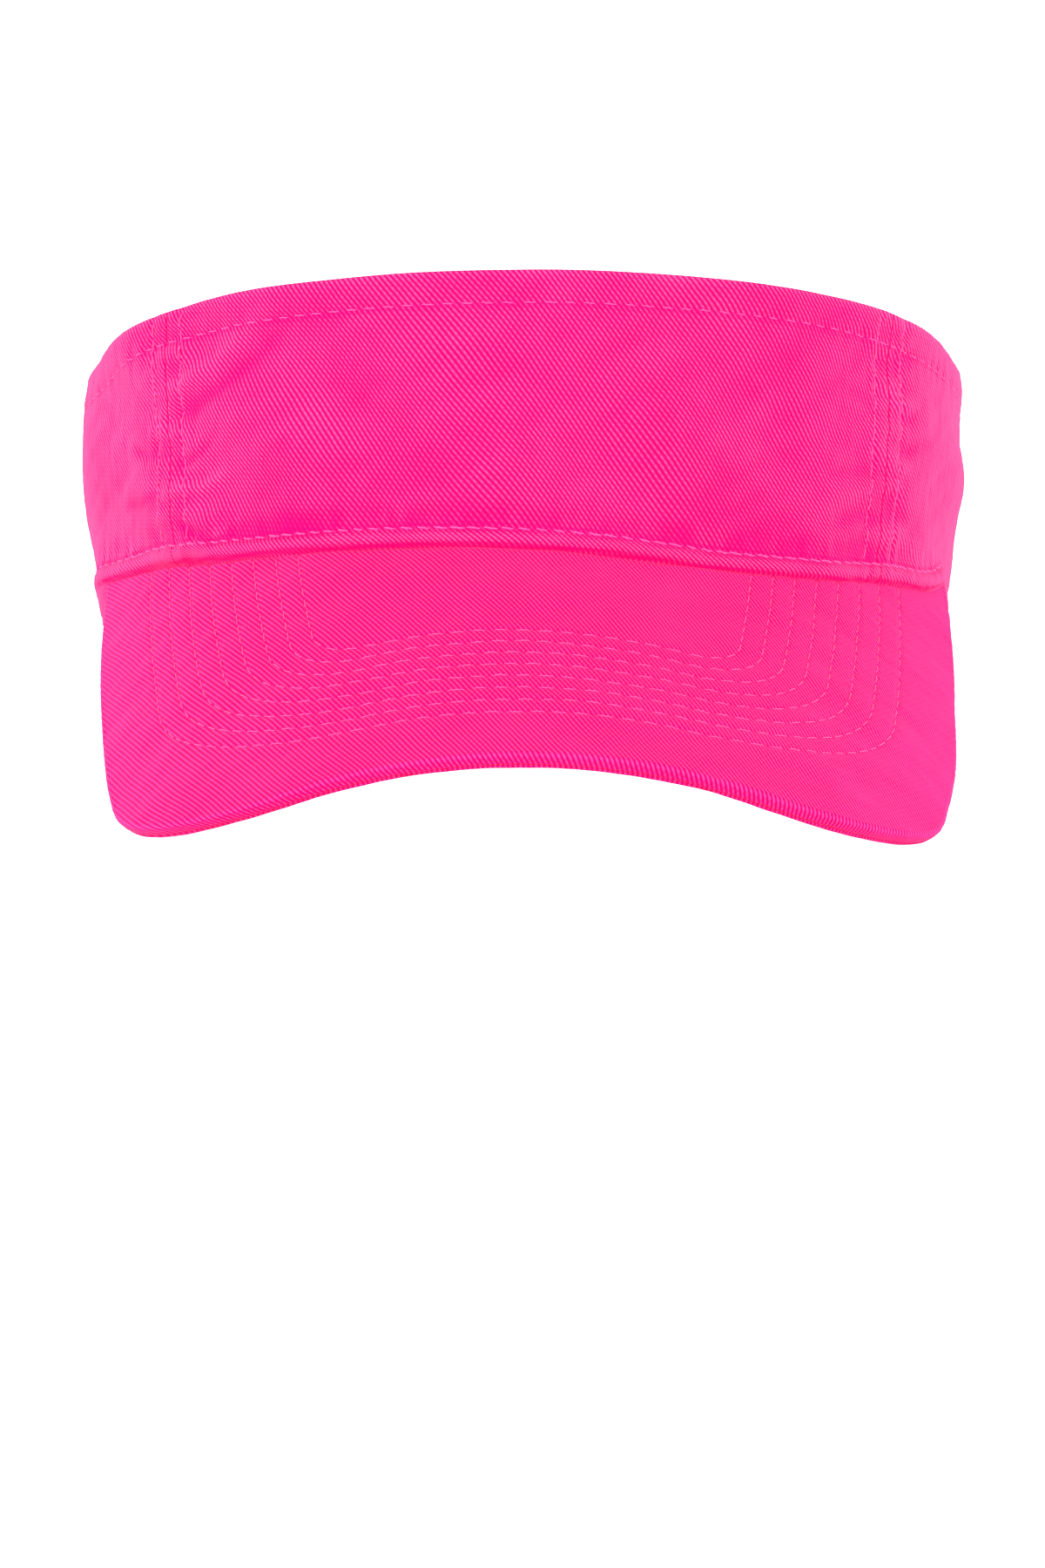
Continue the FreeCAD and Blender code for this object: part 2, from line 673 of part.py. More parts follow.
def draw_curved_strip(sketch, start, end, bottom, top):
    """A strip that follows the band round, between two angles in degrees from the Y axis."""
    radius = STRAP_CENTRE_RADIUS
    centre = V(0, -radius.number)
    first = sketch.GeometryCount
    begin, finish = math.radians(90 + start), math.radians(90 + end)
    rims = (radius + top, radius + bottom)
    for rim in rims:
        sketch.addGeometry(arc(centre, rim.number, begin, finish))
    lines = []
    for angle in (begin, finish):
        direction = V(math.cos(angle), math.sin(angle))
        ends = [centre + direction * rim.number for rim in rims]
        lines.append(sketch.addGeometry(Part.LineSegment(*ends)))
    for line, tip, angle in ((lines[0], 1, begin), (lines[1], 2, finish)):
        for index in (0, 1):
            joint = ("Coincident", first + index, tip, line, index + 1)
            sketch.addConstraint(Sketcher.Constraint(*joint))
        sketch.addConstraint(Sketcher.Constraint("PointOnObject", first, 3, line))
        dimension(sketch, "DistanceX", (-1, 1, line, 1), rims[0] * math.cos(angle))
    for index, rim in enumerate(rims):
        place_point(sketch, first + index, 3, 0, -radius)
        dimension(sketch, "Radius", (first + index,), rim)


def make_buckle_frame():
    body = new_body("buckle_frame", closure_place(cell("buckle_angle").number))
    floor_top = STRAP_BOTTOM - 0.1
    floor_bottom = floor_top - cell("buckle_floor")
    half_length = cell("buckle_half_length")
    half_turn = math.degrees(half_length.number / STRAP_CENTRE_RADIUS.number)

    floor = new_sketch(body, "floor_buckle_frame")
    draw_curved_strip(floor, -half_turn, half_turn, floor_bottom, floor_top)
    pad(body, floor, WALL_END * 2, name="floor")

    bar = new_sketch(body, "bar_buckle_frame")
    draw_circle(bar, -cell("bar_x"), BAR_Y, cell("bar_radius"))
    pad(body, bar, WALL_END * 2, name="bar")

    for side, sign in (("upper", 1), ("lower", -1)):
        start = WALL_START if sign > 0 else -WALL_END
        wall = new_sketch(body, f"{side}_wall_buckle_frame")
        bind(wall, ".AttachmentOffset.Base.z", start)
        draw_wall(wall)
        pad(body, wall, cell("buckle_wall"), symmetric=False, name=f"{side}_wall")


# The strap curves inwards by this much above the tab bar.
CURVE_AT_BAR = cell("bar_x") * cell("bar_x") / (STRAP_CENTRE_RADIUS * 2)
TAB_LOOP_RADIUS = cell("bar_radius") + cell("pin_clearance") + cell("tab_ply")
BAR_Y = STRAP_BOTTOM - CURVE_AT_BAR - TAB_LOOP_RADIUS - 0.2


def draw_wall(sketch):
    """A side wall of the buckle: a low rail with a rounded ear round the pin hole."""
    ear = cell("barrel_radius") + 0.5
    pin_x, pin_y = cell("pin_x"), PIN_Y
    rail_low = BAR_Y - cell("bar_radius") - 0.3
    rail_end = -cell("bar_x") - cell("bar_radius") - 0.4
    corners = [
        (pin_x - ear, pin_y),
        (pin_x - ear, STRAP_TOP + 0.8),
        (-cell("bar_x") + 0.6, STRAP_TOP),
        (rail_end, BAR_Y + cell("bar_radius") + 0.3),
        (rail_end, rail_low),
        (pin_x + ear, rail_low),
        (pin_x + ear, pin_y),
    ]
    points = [V(x.number, y.number) for x, y in corners]
    for start, end in zip(points, points[1:]):
        sketch.addGeometry(Part.LineSegment(start, end))
    last = len(points) - 2
    for index in range(last):
        sketch.addConstraint(Sketcher.Constraint("Coincident", index, 2, index + 1, 1))
    for index, corner in enumerate(corners[:-1]):
        place_point(sketch, index, 1, *corner)
    place_point(sketch, last, 2, *corners[-1])
    crown = sketch.addGeometry(arc(V(pin_x.number, pin_y.number), ear.number, 0, math.pi))
    sketch.addConstraint(Sketcher.Constraint("Coincident", crown, 1, last, 2))
    sketch.addConstraint(Sketcher.Constraint("Coincident", crown, 2, 0, 1))
    dimension(sketch, "DistanceY", (-1, 1, crown, 3), pin_y)
    draw_circle(sketch, pin_x, pin_y, cell("pin_radius") + cell("pin_clearance"))


def make_buckle_pin():
    body = new_body("buckle_pin", closure_place(cell("buckle_angle").number))
    head = Size(0.4)
    shaft = new_sketch(body, "shaft_buckle_pin")
    draw_circle(shaft, cell("pin_x"), PIN_Y, cell("pin_radius"))
    pad(body, shaft, (WALL_END + head) * 2, name="shaft")
    for side, start in (("upper", WALL_END + 0.05), ("lower", -WALL_END - head)):
        cap = new_sketch(body, f"{side}_cap_buckle_pin")
        bind(cap, ".AttachmentOffset.Base.z", start)
        draw_circle(cap, cell("pin_x"), PIN_Y, cell("pin_radius") + 0.5)
        pad(body, cap, head - 0.05, symmetric=False, name=f"{side}_cap")


def make_buckle_lever():
    """The lever lies over the strap's tail when shut, with its cam teeth just off the strap."""
    body = new_body("buckle_lever", closure_place(cell("buckle_angle").number))
    pin_x = cell("pin_x")
    width = cell("strap_width") - 0.2
    plate_top = PIN_Y + cell("barrel_radius")
    plate_bottom = plate_top - cell("lever_thickness")
    tip = pin_x - cell("lever_length")

    barrel = new_sketch(body, "barrel_buckle_lever")
    draw_circle(barrel, pin_x, PIN_Y, cell("barrel_radius"))
    pad(body, barrel, width, name="barrel")

    plate = new_sketch(body, "plate_buckle_lever")
    draw_polygon(
        plate,
        [
            (pin_x, plate_top),
            (pin_x, plate_bottom),
            (tip + 3, plate_bottom - 0.4),
            (tip, plate_bottom + 0.5),
            (tip, plate_top + 0.5),
            (tip + 3, plate_top - 0.4),
        ],
    )
    pad(body, plate, width, name="plate")

    teeth = new_sketch(body, "teeth_buckle_lever")
    tooth_tip = PIN_Y - cell("tooth_radius")
    for shift in (-0.55, 0.0, 0.55):
        lower = tooth_tip + shift**2 * 0.4
        draw_polygon(
            teeth,
            [
                (pin_x + shift - 0.27, PIN_Y - 1.1),
                (pin_x + shift, lower),
                (pin_x + shift + 0.27, PIN_Y - 1.1),
            ],
        )
    pad(body, teeth, cell("strap_width") - 5, name="teeth")

    bore = new_sketch(body, "bore_buckle_lever")
    draw_circle(bore, pin_x, PIN_Y, cell("pin_radius") + cell("pin_clearance"))
    pocket(body, bore, "cut_bore")


def make_buckle_tab():
    """A doubled strip of fabric from the right panel that loops round the buckle's bar."""
    body = new_body("buckle_tab", closure_place(cell("buckle_angle").number))
    strip_top = -layer_depth(2) - 0.05
    strip_bottom = strip_top - cell("tab_ply") * 2
    loop_end = cell("bar_x") + cell("bar_radius") + 0.25
    radius = STRAP_CENTRE_RADIUS + strip_bottom
    start = math.degrees(math.asin(loop_end.number / radius.number))
    end = 180 - cell("right_sweatband_end").number - cell("buckle_angle").number - 0.5

    loop = new_sketch(body, "loop_buckle_tab")
    draw_circle(loop, -cell("bar_x"), BAR_Y, TAB_LOOP_RADIUS)
    draw_circle(loop, -cell("bar_x"), BAR_Y, TAB_LOOP_RADIUS - cell("tab_ply"))
    pad(body, loop, cell("tab_width"), name="loop")

    strip = new_sketch(body, "strip_buckle_tab")
    draw_curved_strip(strip, start, end, strip_bottom, strip_top)
    pad(body, strip, cell("tab_width"), name="strip")

    tacks = new_body("tab_bar_tacks", closure_place(cell("buckle_angle").number + end - 4))
    for sign in (-1, 1):
        tack = new_sketch(tacks, f"tack_{'left' if sign > 0 else 'right'}")
        middle = Size(sign * 2.6)
        top = strip_bottom - 0.1
        draw_polygon(
            tack,
            [
                (middle - 0.6, top),
                (middle - 0.6, top - 0.4),
                (middle + 0.6, top - 0.4),
                (middle + 0.6, top),
            ],
        )
        pad(tacks, tack, cell("tab_width") - 4, name=f"tack_{'left' if sign > 0 else 'right'}")


# --- build, check and write ------------------------------------------------------------------------


def check_document():
    doc.recompute()
    broken = [item.Name for item in doc.Objects if {"Invalid", "Error"} & set(item.State)]
    if broken:
        raise SystemExit(f"failed features: {broken}")
    bodies = [item for item in doc.Objects if item.TypeId == "PartDesign::Body"]
    for body in bodies:
        if body.Shape.isNull() or not body.Shape.isValid() or not body.Shape.Solids:
            raise SystemExit(f"{body.Label} has no valid shape")
    return bodies


make_panels()
make_sweatband()
make_band_stitching()
make_bill()
make_bill_stitching()
make_strap()
make_buckle_frame()
make_buckle_pin()
make_buckle_lever()
make_buckle_tab()

os.makedirs("parts", exist_ok=True)
for part_body in check_document():
    part_body.Shape.exportStep(f"parts/{part_body.Label}.step")
    print(part_body.Label, len(part_body.Shape.Solids), round(part_body.Shape.Volume, 1))
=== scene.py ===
import json
import math

import bpy
import numpy as np
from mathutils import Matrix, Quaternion, Vector


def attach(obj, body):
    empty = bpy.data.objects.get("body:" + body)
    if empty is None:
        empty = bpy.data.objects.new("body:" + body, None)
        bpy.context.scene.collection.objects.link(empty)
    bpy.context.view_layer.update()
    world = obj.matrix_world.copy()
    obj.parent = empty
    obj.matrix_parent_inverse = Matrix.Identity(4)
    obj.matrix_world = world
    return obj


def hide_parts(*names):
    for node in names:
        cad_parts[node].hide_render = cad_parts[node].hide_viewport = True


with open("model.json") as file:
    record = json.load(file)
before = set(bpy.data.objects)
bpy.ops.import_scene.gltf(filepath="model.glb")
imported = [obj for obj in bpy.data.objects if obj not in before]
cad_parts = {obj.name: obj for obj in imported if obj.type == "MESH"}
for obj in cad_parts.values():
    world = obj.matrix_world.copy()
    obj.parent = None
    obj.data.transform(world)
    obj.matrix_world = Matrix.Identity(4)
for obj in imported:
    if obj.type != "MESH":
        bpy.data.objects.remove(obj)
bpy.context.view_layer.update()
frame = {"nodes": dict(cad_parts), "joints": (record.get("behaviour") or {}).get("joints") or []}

# Sizes are millimetres in the band's own frame: X towards the wearer's left, Y back, Z up the axis
# of the head opening, origin in the plane of the band's lower edge.  The record's strap joint turns
# about that axis, so it gives the frame's place.
HALF_WIDTH = 89.0
DEPTH = 97.0
FOREHEAD = 80.4
FLARE = 0.045
FRONT_HEIGHT = 62.5
TOP_SLOPE = 0.14
TUCK_HEIGHT = 6.0
TUCK_START = 30.0
SEAM_ANGLE = 49.0
LEFT_END = 160.0
RIGHT_END = 164.0
SWEATBAND_RIGHT_END = 152.0
BACKING_END = 96.0
SWEATBAND_HEIGHT = 29.0
BILL_SEAM_HEIGHT = 9.3
BILL_DROP = math.radians(34.0)
ARCH = 110.0
BILL_LENGTH = 74.0
BILL_HALF_WIDTH = 84.8
WIDEST = -40.0
WING = -54.0
FRONT_EDGE = 1500.0
SIDE_EDGE = 485.0
CORNER = 36.0
BILL_THICKNESS = 3.0
ROWS = 8
ROW_PITCH = 4.12
OUTER_ROW_FRONT = 15.0
OUTER_ROW_SIDE = 11.5
INNER_ROW_CORNER = 9.5
ROW_CORNER_STEP = 4.6
HEM_STITCH = 6.3
LOWER_STITCH = 3.4
SIDE_STITCH = 4.3
STRAP_HEIGHT = 18.0
STRAP_WIDTH = 18.0
STRAP_TOP = -1.3
STRAP_THICKNESS = 1.1
STRAP_SPAN = (-58.0, 62.0)
BUCKLE_ANGLE = 9.0
SIDE_WAIST = 84.0
WING_WAIST = 116.0
TWIST = 3.2
SEAM_OFFSET = -0.25
LINING_TOP_GAP = 8.4
LINING_BOTTOM_GAP = 1.0
LINING_SIDE_GAP = 0.06
SWEATBAND_BOTTOM_GAP = 0.8
LABEL_LOW = 6.5
LABEL_HIGH = 21.5
# strength of the white world light, which isn't a size
AMBIENT = 0.75

JOINTS = {joint["name"]: joint for joint in frame["joints"]}
BAND_ORIGIN = np.array(JOINTS["strap_adjust"]["pos_m"])
BAND_UP = np.array(JOINTS["strap_adjust"]["axis"])
BAND_RIGHT = np.array((1.0, 0.0, 0.0))
BAND_AXES = np.stack((BAND_RIGHT, np.cross(BAND_UP, BAND_RIGHT), BAND_UP))


def to_row(points):
    """Band frame in millimetres to the row frame in metres."""
    return points @ BAND_AXES / 1000 + BAND_ORIGIN


def stack(*parts):
    return np.stack(np.broadcast_arrays(*parts), axis=-1)


def unit(vectors):
    return vectors / np.linalg.norm(vectors, axis=-1, keepdims=True)


def bump(distance, width):
    return np.exp(-((distance / width) ** 2))


def smooth(low, high, value):
    t = np.clip((value - low) / (high - low), 0, 1)
    return t * t * (3 - 2 * t)


def folds(x, y, seed, length_x, length_y, waves=28):
    """Smooth random folds of unit height, the same on every run."""
    rng = np.random.default_rng(seed)
    total = 0.0
    for _ in range(waves):
        kx = rng.normal() / length_x
        ky = rng.normal() / length_y
        phase = rng.uniform(0, 2 * math.pi)
        total = total + np.cos(2 * math.pi * (kx * x + ky * y) + phase)
    return total * math.sqrt(2 / waves)


# --- the band's plan and edges ---

SETBACK = DEPTH - FOREHEAD
SIDE = (SETBACK**2 + HALF_WIDTH**2 - FOREHEAD**2) / (2 * (HALF_WIDTH - FOREHEAD))
FRONT_TURN = math.pi / 2 - math.atan2(SETBACK, SIDE - HALF_WIDTH)
FRONT_ARC = FOREHEAD * FRONT_TURN
SIDE_ARC = SIDE * (math.pi / 2 - FRONT_TURN)


def plan(around):
    """Turn of the wall's normal, and centre and radius of its arc, at a distance round the edge."""
    size = np.abs(around)
    front = size < FRONT_ARC
    back = size >= FRONT_ARC + SIDE_ARC
    side_turn = FRONT_TURN + (size - FRONT_ARC) / SIDE
    back_turn = math.pi / 2 + (size - FRONT_ARC - SIDE_ARC) / HALF_WIDTH
    turn = np.where(front, size / FOREHEAD, np.where(back, back_turn, side_turn))
    radius = np.where(front, FOREHEAD, np.where(back, HALF_WIDTH, SIDE))
    centre_x = np.where(front | back, 0.0, HALF_WIDTH - SIDE) * np.sign(around)
    centre_y = np.where(front, -SETBACK, 0.0)
    return turn * np.sign(around), centre_x, centre_y, radius


def lean(around, height):
    """How far the band, as it sits on a head, stands out of its true shape."""
    size = np.abs(around)
    pulled = 1.2 * bump(size - SIDE_WAIST, 16.0) - 1.5 * bump(around + WING_WAIST, 10.0)
    beside = smooth(95, 132, size) * smooth(186, 152, size)
    taper = 2.1 * smooth(26, 1, height)
    right_cheek = 0.1 * smooth(16, 42, height) + 1.3 * bump(height - 34, 9.0)
    left_cheek = 0.65 * bump(height - 31, 6.0) - 1.6 * smooth(16, 42, height)
    left_cheek = left_cheek - 1.4 * bump(height - 18, 8.0)
    cheek = np.where(around < 0, right_cheek, left_cheek)
    return beside * (cheek - taper) - pulled * bump(height - BILL_SEAM_HEIGHT / 2, 12.0)


def wall(around, height, offset=0.0):
    turn, centre_x, centre_y, radius = plan(around)
    reach = radius + FLARE * height + offset + lean(around, height)
    return stack(centre_x + reach * np.sin(turn), centre_y - reach * np.cos(turn), height)


def wall_normal(around):
    turn = plan(around)[0]
    return unit(stack(np.sin(turn), -np.cos(turn), -FLARE))


def around_at(angle):
    """Distance round the lower edge to a direction in degrees, behind the forehead arc."""
    direction = math.radians(abs(angle))
    if direction >= math.pi / 2:
        return math.copysign(
            FRONT_ARC + SIDE_ARC + HALF_WIDTH * (direction - math.pi / 2), angle
        )
    centre = HALF_WIDTH - SIDE
    reach = centre * math.sin(direction)
    reach += math.sqrt(SIDE**2 - (centre * math.cos(direction)) ** 2)
    turn = math.atan2(reach * math.sin(direction) - centre, reach * math.cos(direction))
    return math.copysign(FRONT_ARC + SIDE * (turn - FRONT_TURN), angle)


def top_height(around):
    """Height of the top edge, with the slight rise over the temples of the cut cloth."""
    turn, _, centre_y, radius = plan(around)
    level = FRONT_HEIGHT - TOP_SLOPE * (DEPTH + centre_y - radius * np.cos(turn))
    temple = 1.05 * bump(np.abs(around) - 74, 32.0) - 0.3 * bump(around, 60.0)
    uneven = 0.35 * np.sin(math.pi * np.clip(around / 150, -1, 1))
    uneven = uneven - 1.8 * bump(around + 117, 17.0) - 0.9 * bump(around - 119, 15.0)
    return level / (1 - TOP_SLOPE * FLARE * np.cos(turn)) + temple + uneven


def bottom_height(around):
    """The panels' lower edge, which rises in front behind the bill and dips where the bill sags."""
    ahead = -wall(around, 0.0)[..., 1]
    tuck = np.maximum(0.0, (ahead - TUCK_START) * TUCK_HEIGHT / (DEPTH - TUCK_START))
    return tuck - 1.4 * bump(around - 36, 28.0)


# --- the bill's surface ---

DOWN_BILL = np.array((0.0, -math.cos(BILL_DROP), -math.sin(BILL_DROP)))
OUT_OF_BILL = np.array((0.0, -math.sin(BILL_DROP), math.cos(BILL_DROP)))
SEAM_CENTRE = np.array((0.0, -DEPTH - BILL_SEAM_HEIGHT * FLARE, BILL_SEAM_HEIGHT))


def bill_warp(x, u):
    """The bill's slight twist at its seam, which dies out towards its front edge."""
    seam_u = -(x**2) / 125
    reach = smooth(1.0, 0.0, (u - seam_u) / (BILL_LENGTH - seam_u))
    skew = 0.62 * bump(x + 60, 44.0) - 0.4 * bump(x - 35, 22.0) - 0.45 * bump(x + 92, 14.0)
    return TWIST * skew * reach


def bill_shift(x, u):
    """How far the bill's edges have moved to the wearer's left as it sits on a head."""
    off_seam = smooth(0, 8, u + x**2 / 125)
    right_wing = 0.9 * smooth(-60, -83, x) * off_seam * smooth(45, 0, u)
    left_front = 1.15 * smooth(60, 83, x) * smooth(-10, 25, u)
    return right_wing + left_front


def bill_point(plan_points, height):
    """A point at (x across, u down the bill) and a height above the arch."""
    x, u = plan_points[..., 0], plan_points[..., 1]
    height = height + bill_warp(x, u)
    x = x + bill_shift(x, u)
    lean = np.arcsin(np.clip(x / ARCH, -1, 1))
    across = (ARCH + height) * np.sin(lean)
    out = (ARCH + height) * np.cos(lean) - ARCH
    side = across[..., None] * np.array((1.0, 0.0, 0.0))
    return SEAM_CENTRE + u[..., None] * DOWN_BILL + side + out[..., None] * OUT_OF_BILL


def bill_normal(plan_points):
    lean = np.arcsin(np.clip(plan_points[..., 0] / ARCH, -1, 1))
    side = np.sin(lean)[..., None] * np.array((1.0, 0.0, 0.0))
    return side + np.cos(lean)[..., None] * OUT_OF_BILL


def bill_seam(around):
    """Height up the wall of the line where the bill's arch meets it, and its (x, u) on the bill."""
    height = np.full(np.shape(around), BILL_SEAM_HEIGHT)

    def miss(level):
        relative = wall(around, level, SEAM_OFFSET) - SEAM_CENTRE
        warp = bill_warp(relative[..., 0], relative @ DOWN_BILL)
        return np.hypot(relative[..., 0], relative @ OUT_OF_BILL + ARCH) - ARCH - warp

    for _ in range(12):
        here = miss(height)
        slope = (miss(height + 0.01) - here) / 0.01
        height = height - here / slope
    relative = wall(around, height, SEAM_OFFSET) - SEAM_CENTRE
    return height, stack(relative[..., 0], relative @ DOWN_BILL)


FRONT_CENTRE = np.array((0.0, BILL_LENGTH - FRONT_EDGE))
SIDE_CENTRE = np.array((BILL_HALF_WIDTH - SIDE_EDGE, WIDEST))


def corner_centre(front_inset, side_inset, corner):
    front, side = FRONT_EDGE - front_inset - corner, SIDE_EDGE - side_inset - corner
    apart = SIDE_CENTRE - FRONT_CENTRE
    gap = np.linalg.norm(apart)
    along = (front**2 - side**2 + gap**2) / (2 * gap)
    across = math.sqrt(front**2 - along**2)
    direction = apart / gap
    return FRONT_CENTRE + direction * along + np.array((direction[1], -direction[0])) * across


def half_outline(front_inset, side_inset, corner, step=0.5):
    """Right half of the bill's plan, or of a curve inside it, from the centre line to the wing."""
    middle = corner_centre(front_inset, side_inset, corner)
    front_end = math.atan2(*(middle - FRONT_CENTRE))
    side_start = math.atan2(*(middle - SIDE_CENTRE))
    side_radius = SIDE_EDGE - side_inset
    side_end = math.pi / 2 + math.asin((WIDEST - WING) / side_radius)
    pieces = []
    for centre, radius, start, end in (
        (FRONT_CENTRE, FRONT_EDGE - front_inset, 0.0, front_end),
        (middle, corner, front_end, side_start),
        (SIDE_CENTRE, side_radius, side_start, side_end),
    ):
        count = max(4, int(radius * (end - start) / step))
        angles = np.linspace(start, end, count + 1)[(1 if pieces else 0):]
        circle = stack(np.sin(angles), np.cos(angles))
        pieces.append(np.concatenate((centre + circle * radius, circle), axis=-1))
    return np.concatenate(pieces)


def inset_depth(points, front_inset=0.0, side_inset=0.0, corner=CORNER):
    """Distance inside the plan curve: zero on it, positive within it."""
    spot = stack(np.abs(points[..., 0]), points[..., 1])
    middle = corner_centre(front_inset, side_inset, corner)
    front = FRONT_EDGE - front_inset - np.linalg.norm(spot - FRONT_CENTRE, axis=-1)
    side = SIDE_EDGE - side_inset - np.linalg.norm(spot - SIDE_CENTRE, axis=-1)
    away = spot - middle
    to_front, to_side = middle - FRONT_CENTRE, middle - SIDE_CENTRE
    past_front = away[..., 0] * to_front[1] - away[..., 1] * to_front[0] > 0
    past_side = away[..., 1] * to_side[0] - away[..., 0] * to_side[1] > 0
    rounded = corner - np.linalg.norm(away, axis=-1)
    return np.where(past_front & past_side, rounded, np.minimum(front, side))


def row_shape(row):
    """Front inset, side inset and corner radius of a stitch row; row 1 is the innermost."""
    inwards = (ROWS - row) * ROW_PITCH
    corner = INNER_ROW_CORNER + ROW_CORNER_STEP * (row - 1)
    return OUTER_ROW_FRONT + inwards, OUTER_ROW_SIDE + inwards, corner


# --- meshes ---


def make_piece(name, points, faces, uv, material, nodes, body="root", painted_light_and_wear=None):
    """A mesh from row-frame points, with one UV in millimetres per point."""
    mesh = bpy.data.meshes.new(name)
    points = np.asarray(points, np.float32).reshape(-1, 3)
    faces = np.asarray(faces, np.int32)
    mesh.from_pydata(points.tolist(), [], faces.tolist())
    mesh.polygons.foreach_set("use_smooth", np.ones(len(mesh.polygons), bool))
    corners = np.zeros(len(mesh.loops), np.int32)
    mesh.loops.foreach_get("vertex_index", corners)
    layer = mesh.uv_layers.new(name="UVMap")
    layer.data.foreach_set("uv", np.asarray(uv, np.float32).reshape(-1, 2)[corners].ravel())
    # The per-point attribute holds painted light and shade: positive values paint highlights and paler
    # edges, negative values paint shade.
    light_and_wear = mesh.attributes.new("painted_light_and_wear", "FLOAT", "POINT")
    values = np.zeros(len(points)) if painted_light_and_wear is None else np.asarray(painted_light_and_wear).ravel()
    light_and_wear.data.foreach_set("value", values.astype(np.float32))
    mesh.materials.append(material)
    mesh.update()
    piece = bpy.data.objects.new(name, mesh)
    bpy.context.scene.collection.objects.link(piece)
    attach(piece, body)
    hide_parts(*nodes)
    return piece


def grid_faces(rows, columns, start=0, flip=False):
    index = start + np.arange(rows * columns).reshape(rows, columns)
    quads = stack(index[:-1, :-1], index[:-1, 1:], index[1:, 1:], index[1:, :-1]).reshape(-1, 4)
    return quads[:, ::-1] if flip else quads


def rim_of(rows, columns):
    """Indices once round the border of a grid."""
    index = np.arange(rows * columns).reshape(rows, columns)
    return np.concatenate(
        (index[0, :-1], index[:-1, -1], index[-1, :0:-1], index[:0:-1, 0])
    )


def shell(name, outer, inner, uv, material, nodes, body="root", painted_light_and_wear=None):
    """A closed sheet of cloth from its outer and inner grids of band-frame points."""
    rows, columns = outer.shape[:2]
    count = rows * columns
    rim = rim_of(rows, columns)
    following = np.roll(rim, -1)
    edge = stack(rim, rim + count, following + count, following)
    faces = np.concatenate(
        (grid_faces(rows, columns), grid_faces(rows, columns, count, True), edge)
    )
    points = to_row(np.concatenate((outer.reshape(-1, 3), inner.reshape(-1, 3))))
    uv = np.concatenate((uv.reshape(-1, 2), uv.reshape(-1, 2)))
    if painted_light_and_wear is not None:
        painted_light_and_wear = np.concatenate((painted_light_and_wear.ravel(), painted_light_and_wear.ravel() * 0))
    return make_piece(name, points, faces, uv, material, nodes, body, painted_light_and_wear)


def spaced(length, step, edges=(0.0, 0.12, 0.3, 0.55, 0.9)):
    """Distances along a length, closer together at both ends."""
    edges = np.array(edges)
    count = max(2, int((length - 2 * edges[-1]) / step))
    middle = np.linspace(edges[-1], length - edges[-1], count + 1)[1:-1]
    return np.concatenate((edges, middle, length - edges[::-1]))


def rounded(distance, radius):
    """How far a rounded rim drops, at a distance from the sheet's edge."""
    inside = np.clip(1 - distance / radius, 0, 1)
    return radius * (1 - np.sqrt(1 - inside**2))


def thread_tubes(lines, pitch, radius, lift=0.16, dip=0.34, slant=0.0, seed=1, body_shape=0.5):
    """Points, faces and UVs of lockstitch threads that arch over the cloth and dive at each hole.

    Each line is (points, normals) in the row frame, in metres; the other sizes are millimetres.
    """
    sides, per_stitch = 7, 8
    rng = np.random.default_rng(seed)
    all_points, all_faces, all_uv, start = [], [], [], 0
    for points, normals in lines:
        steps = np.linalg.norm(np.diff(points, axis=0), axis=1) * 1000
        length = np.concatenate(((0.0,), np.cumsum(steps)))
        stitches = max(1, round(length[-1] / pitch))
        holes = np.arange(stitches + 1) + rng.normal(0, 0.035, stitches + 1)
        holes[0], holes[-1] = 0, stitches
        phase = np.arange(stitches * per_stitch + 1) / per_stitch
        where = np.interp(phase, np.arange(stitches + 1), holes) * length[-1] / stitches
        path = stack(*(np.interp(where, length, points[:, axis]) for axis in range(3)))
        normal = unit(stack(*(np.interp(where, length, normals[:, axis]) for axis in range(3))))
        tangent = unit(np.gradient(path, axis=0))
        across = unit(np.cross(tangent, normal))
        part = phase - np.floor(phase)
        arch = np.sin(math.pi * part) ** body_shape
        sway = slant * (part - 0.5) * (arch > 0.1) + rng.normal(0, 0.02, len(part))
        path = path + normal * ((arch * (lift + dip) - dip)[:, None] / 1000)
        path = path + across * (sway[:, None] / 1000)
        tangent = unit(np.gradient(path, axis=0))
        across = unit(np.cross(tangent, normal))
        normal = np.cross(across, tangent)
        turn = 2 * math.pi * np.arange(sides) / sides
        ring = across[:, None] * np.cos(turn)[None, :, None]
        ring = ring + normal[:, None] * np.sin(turn)[None, :, None]
        tube = path[:, None] + ring * (radius / 1000)
        index = start + np.arange(len(path) * sides).reshape(len(path), sides)
        beside = np.roll(index, -1, axis=1)
        walls = stack(index[:-1], index[1:], beside[1:], beside[:-1]).reshape(-1, 4)
        all_points.append(tube.reshape(-1, 3))
        all_faces.extend(walls.tolist())
        all_faces.append(index[0].tolist())
        all_faces.append(index[-1][::-1].tolist())
        all_uv.append(stack(where[:, None], (np.arange(sides) / sides * 2)[None]).reshape(-1, 2))
        start += len(path) * sides
    return np.concatenate(all_points), all_faces, np.concatenate(all_uv)


def thread_piece(name, lines, nodes, pitch=3.6, radius=0.17, body="root", **shape):
    points, faces, uv = thread_tubes(lines, pitch, radius, **shape)
    mesh = bpy.data.meshes.new(name)
    mesh.from_pydata(points.tolist(), [], faces)
    mesh.polygons.foreach_set("use_smooth", np.ones(len(mesh.polygons), bool))
    corners = np.zeros(len(mesh.loops), np.int32)
    mesh.loops.foreach_get("vertex_index", corners)
    layer = mesh.uv_layers.new(name="UVMap")
    layer.data.foreach_set("uv", uv.astype(np.float32)[corners].ravel())
    mesh.materials.append(THREAD)
    mesh.update()
    piece = bpy.data.objects.new(name, mesh)
    bpy.context.scene.collection.objects.link(piece)
    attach(piece, body)
    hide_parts(*nodes)
    return piece


# --- materials ---


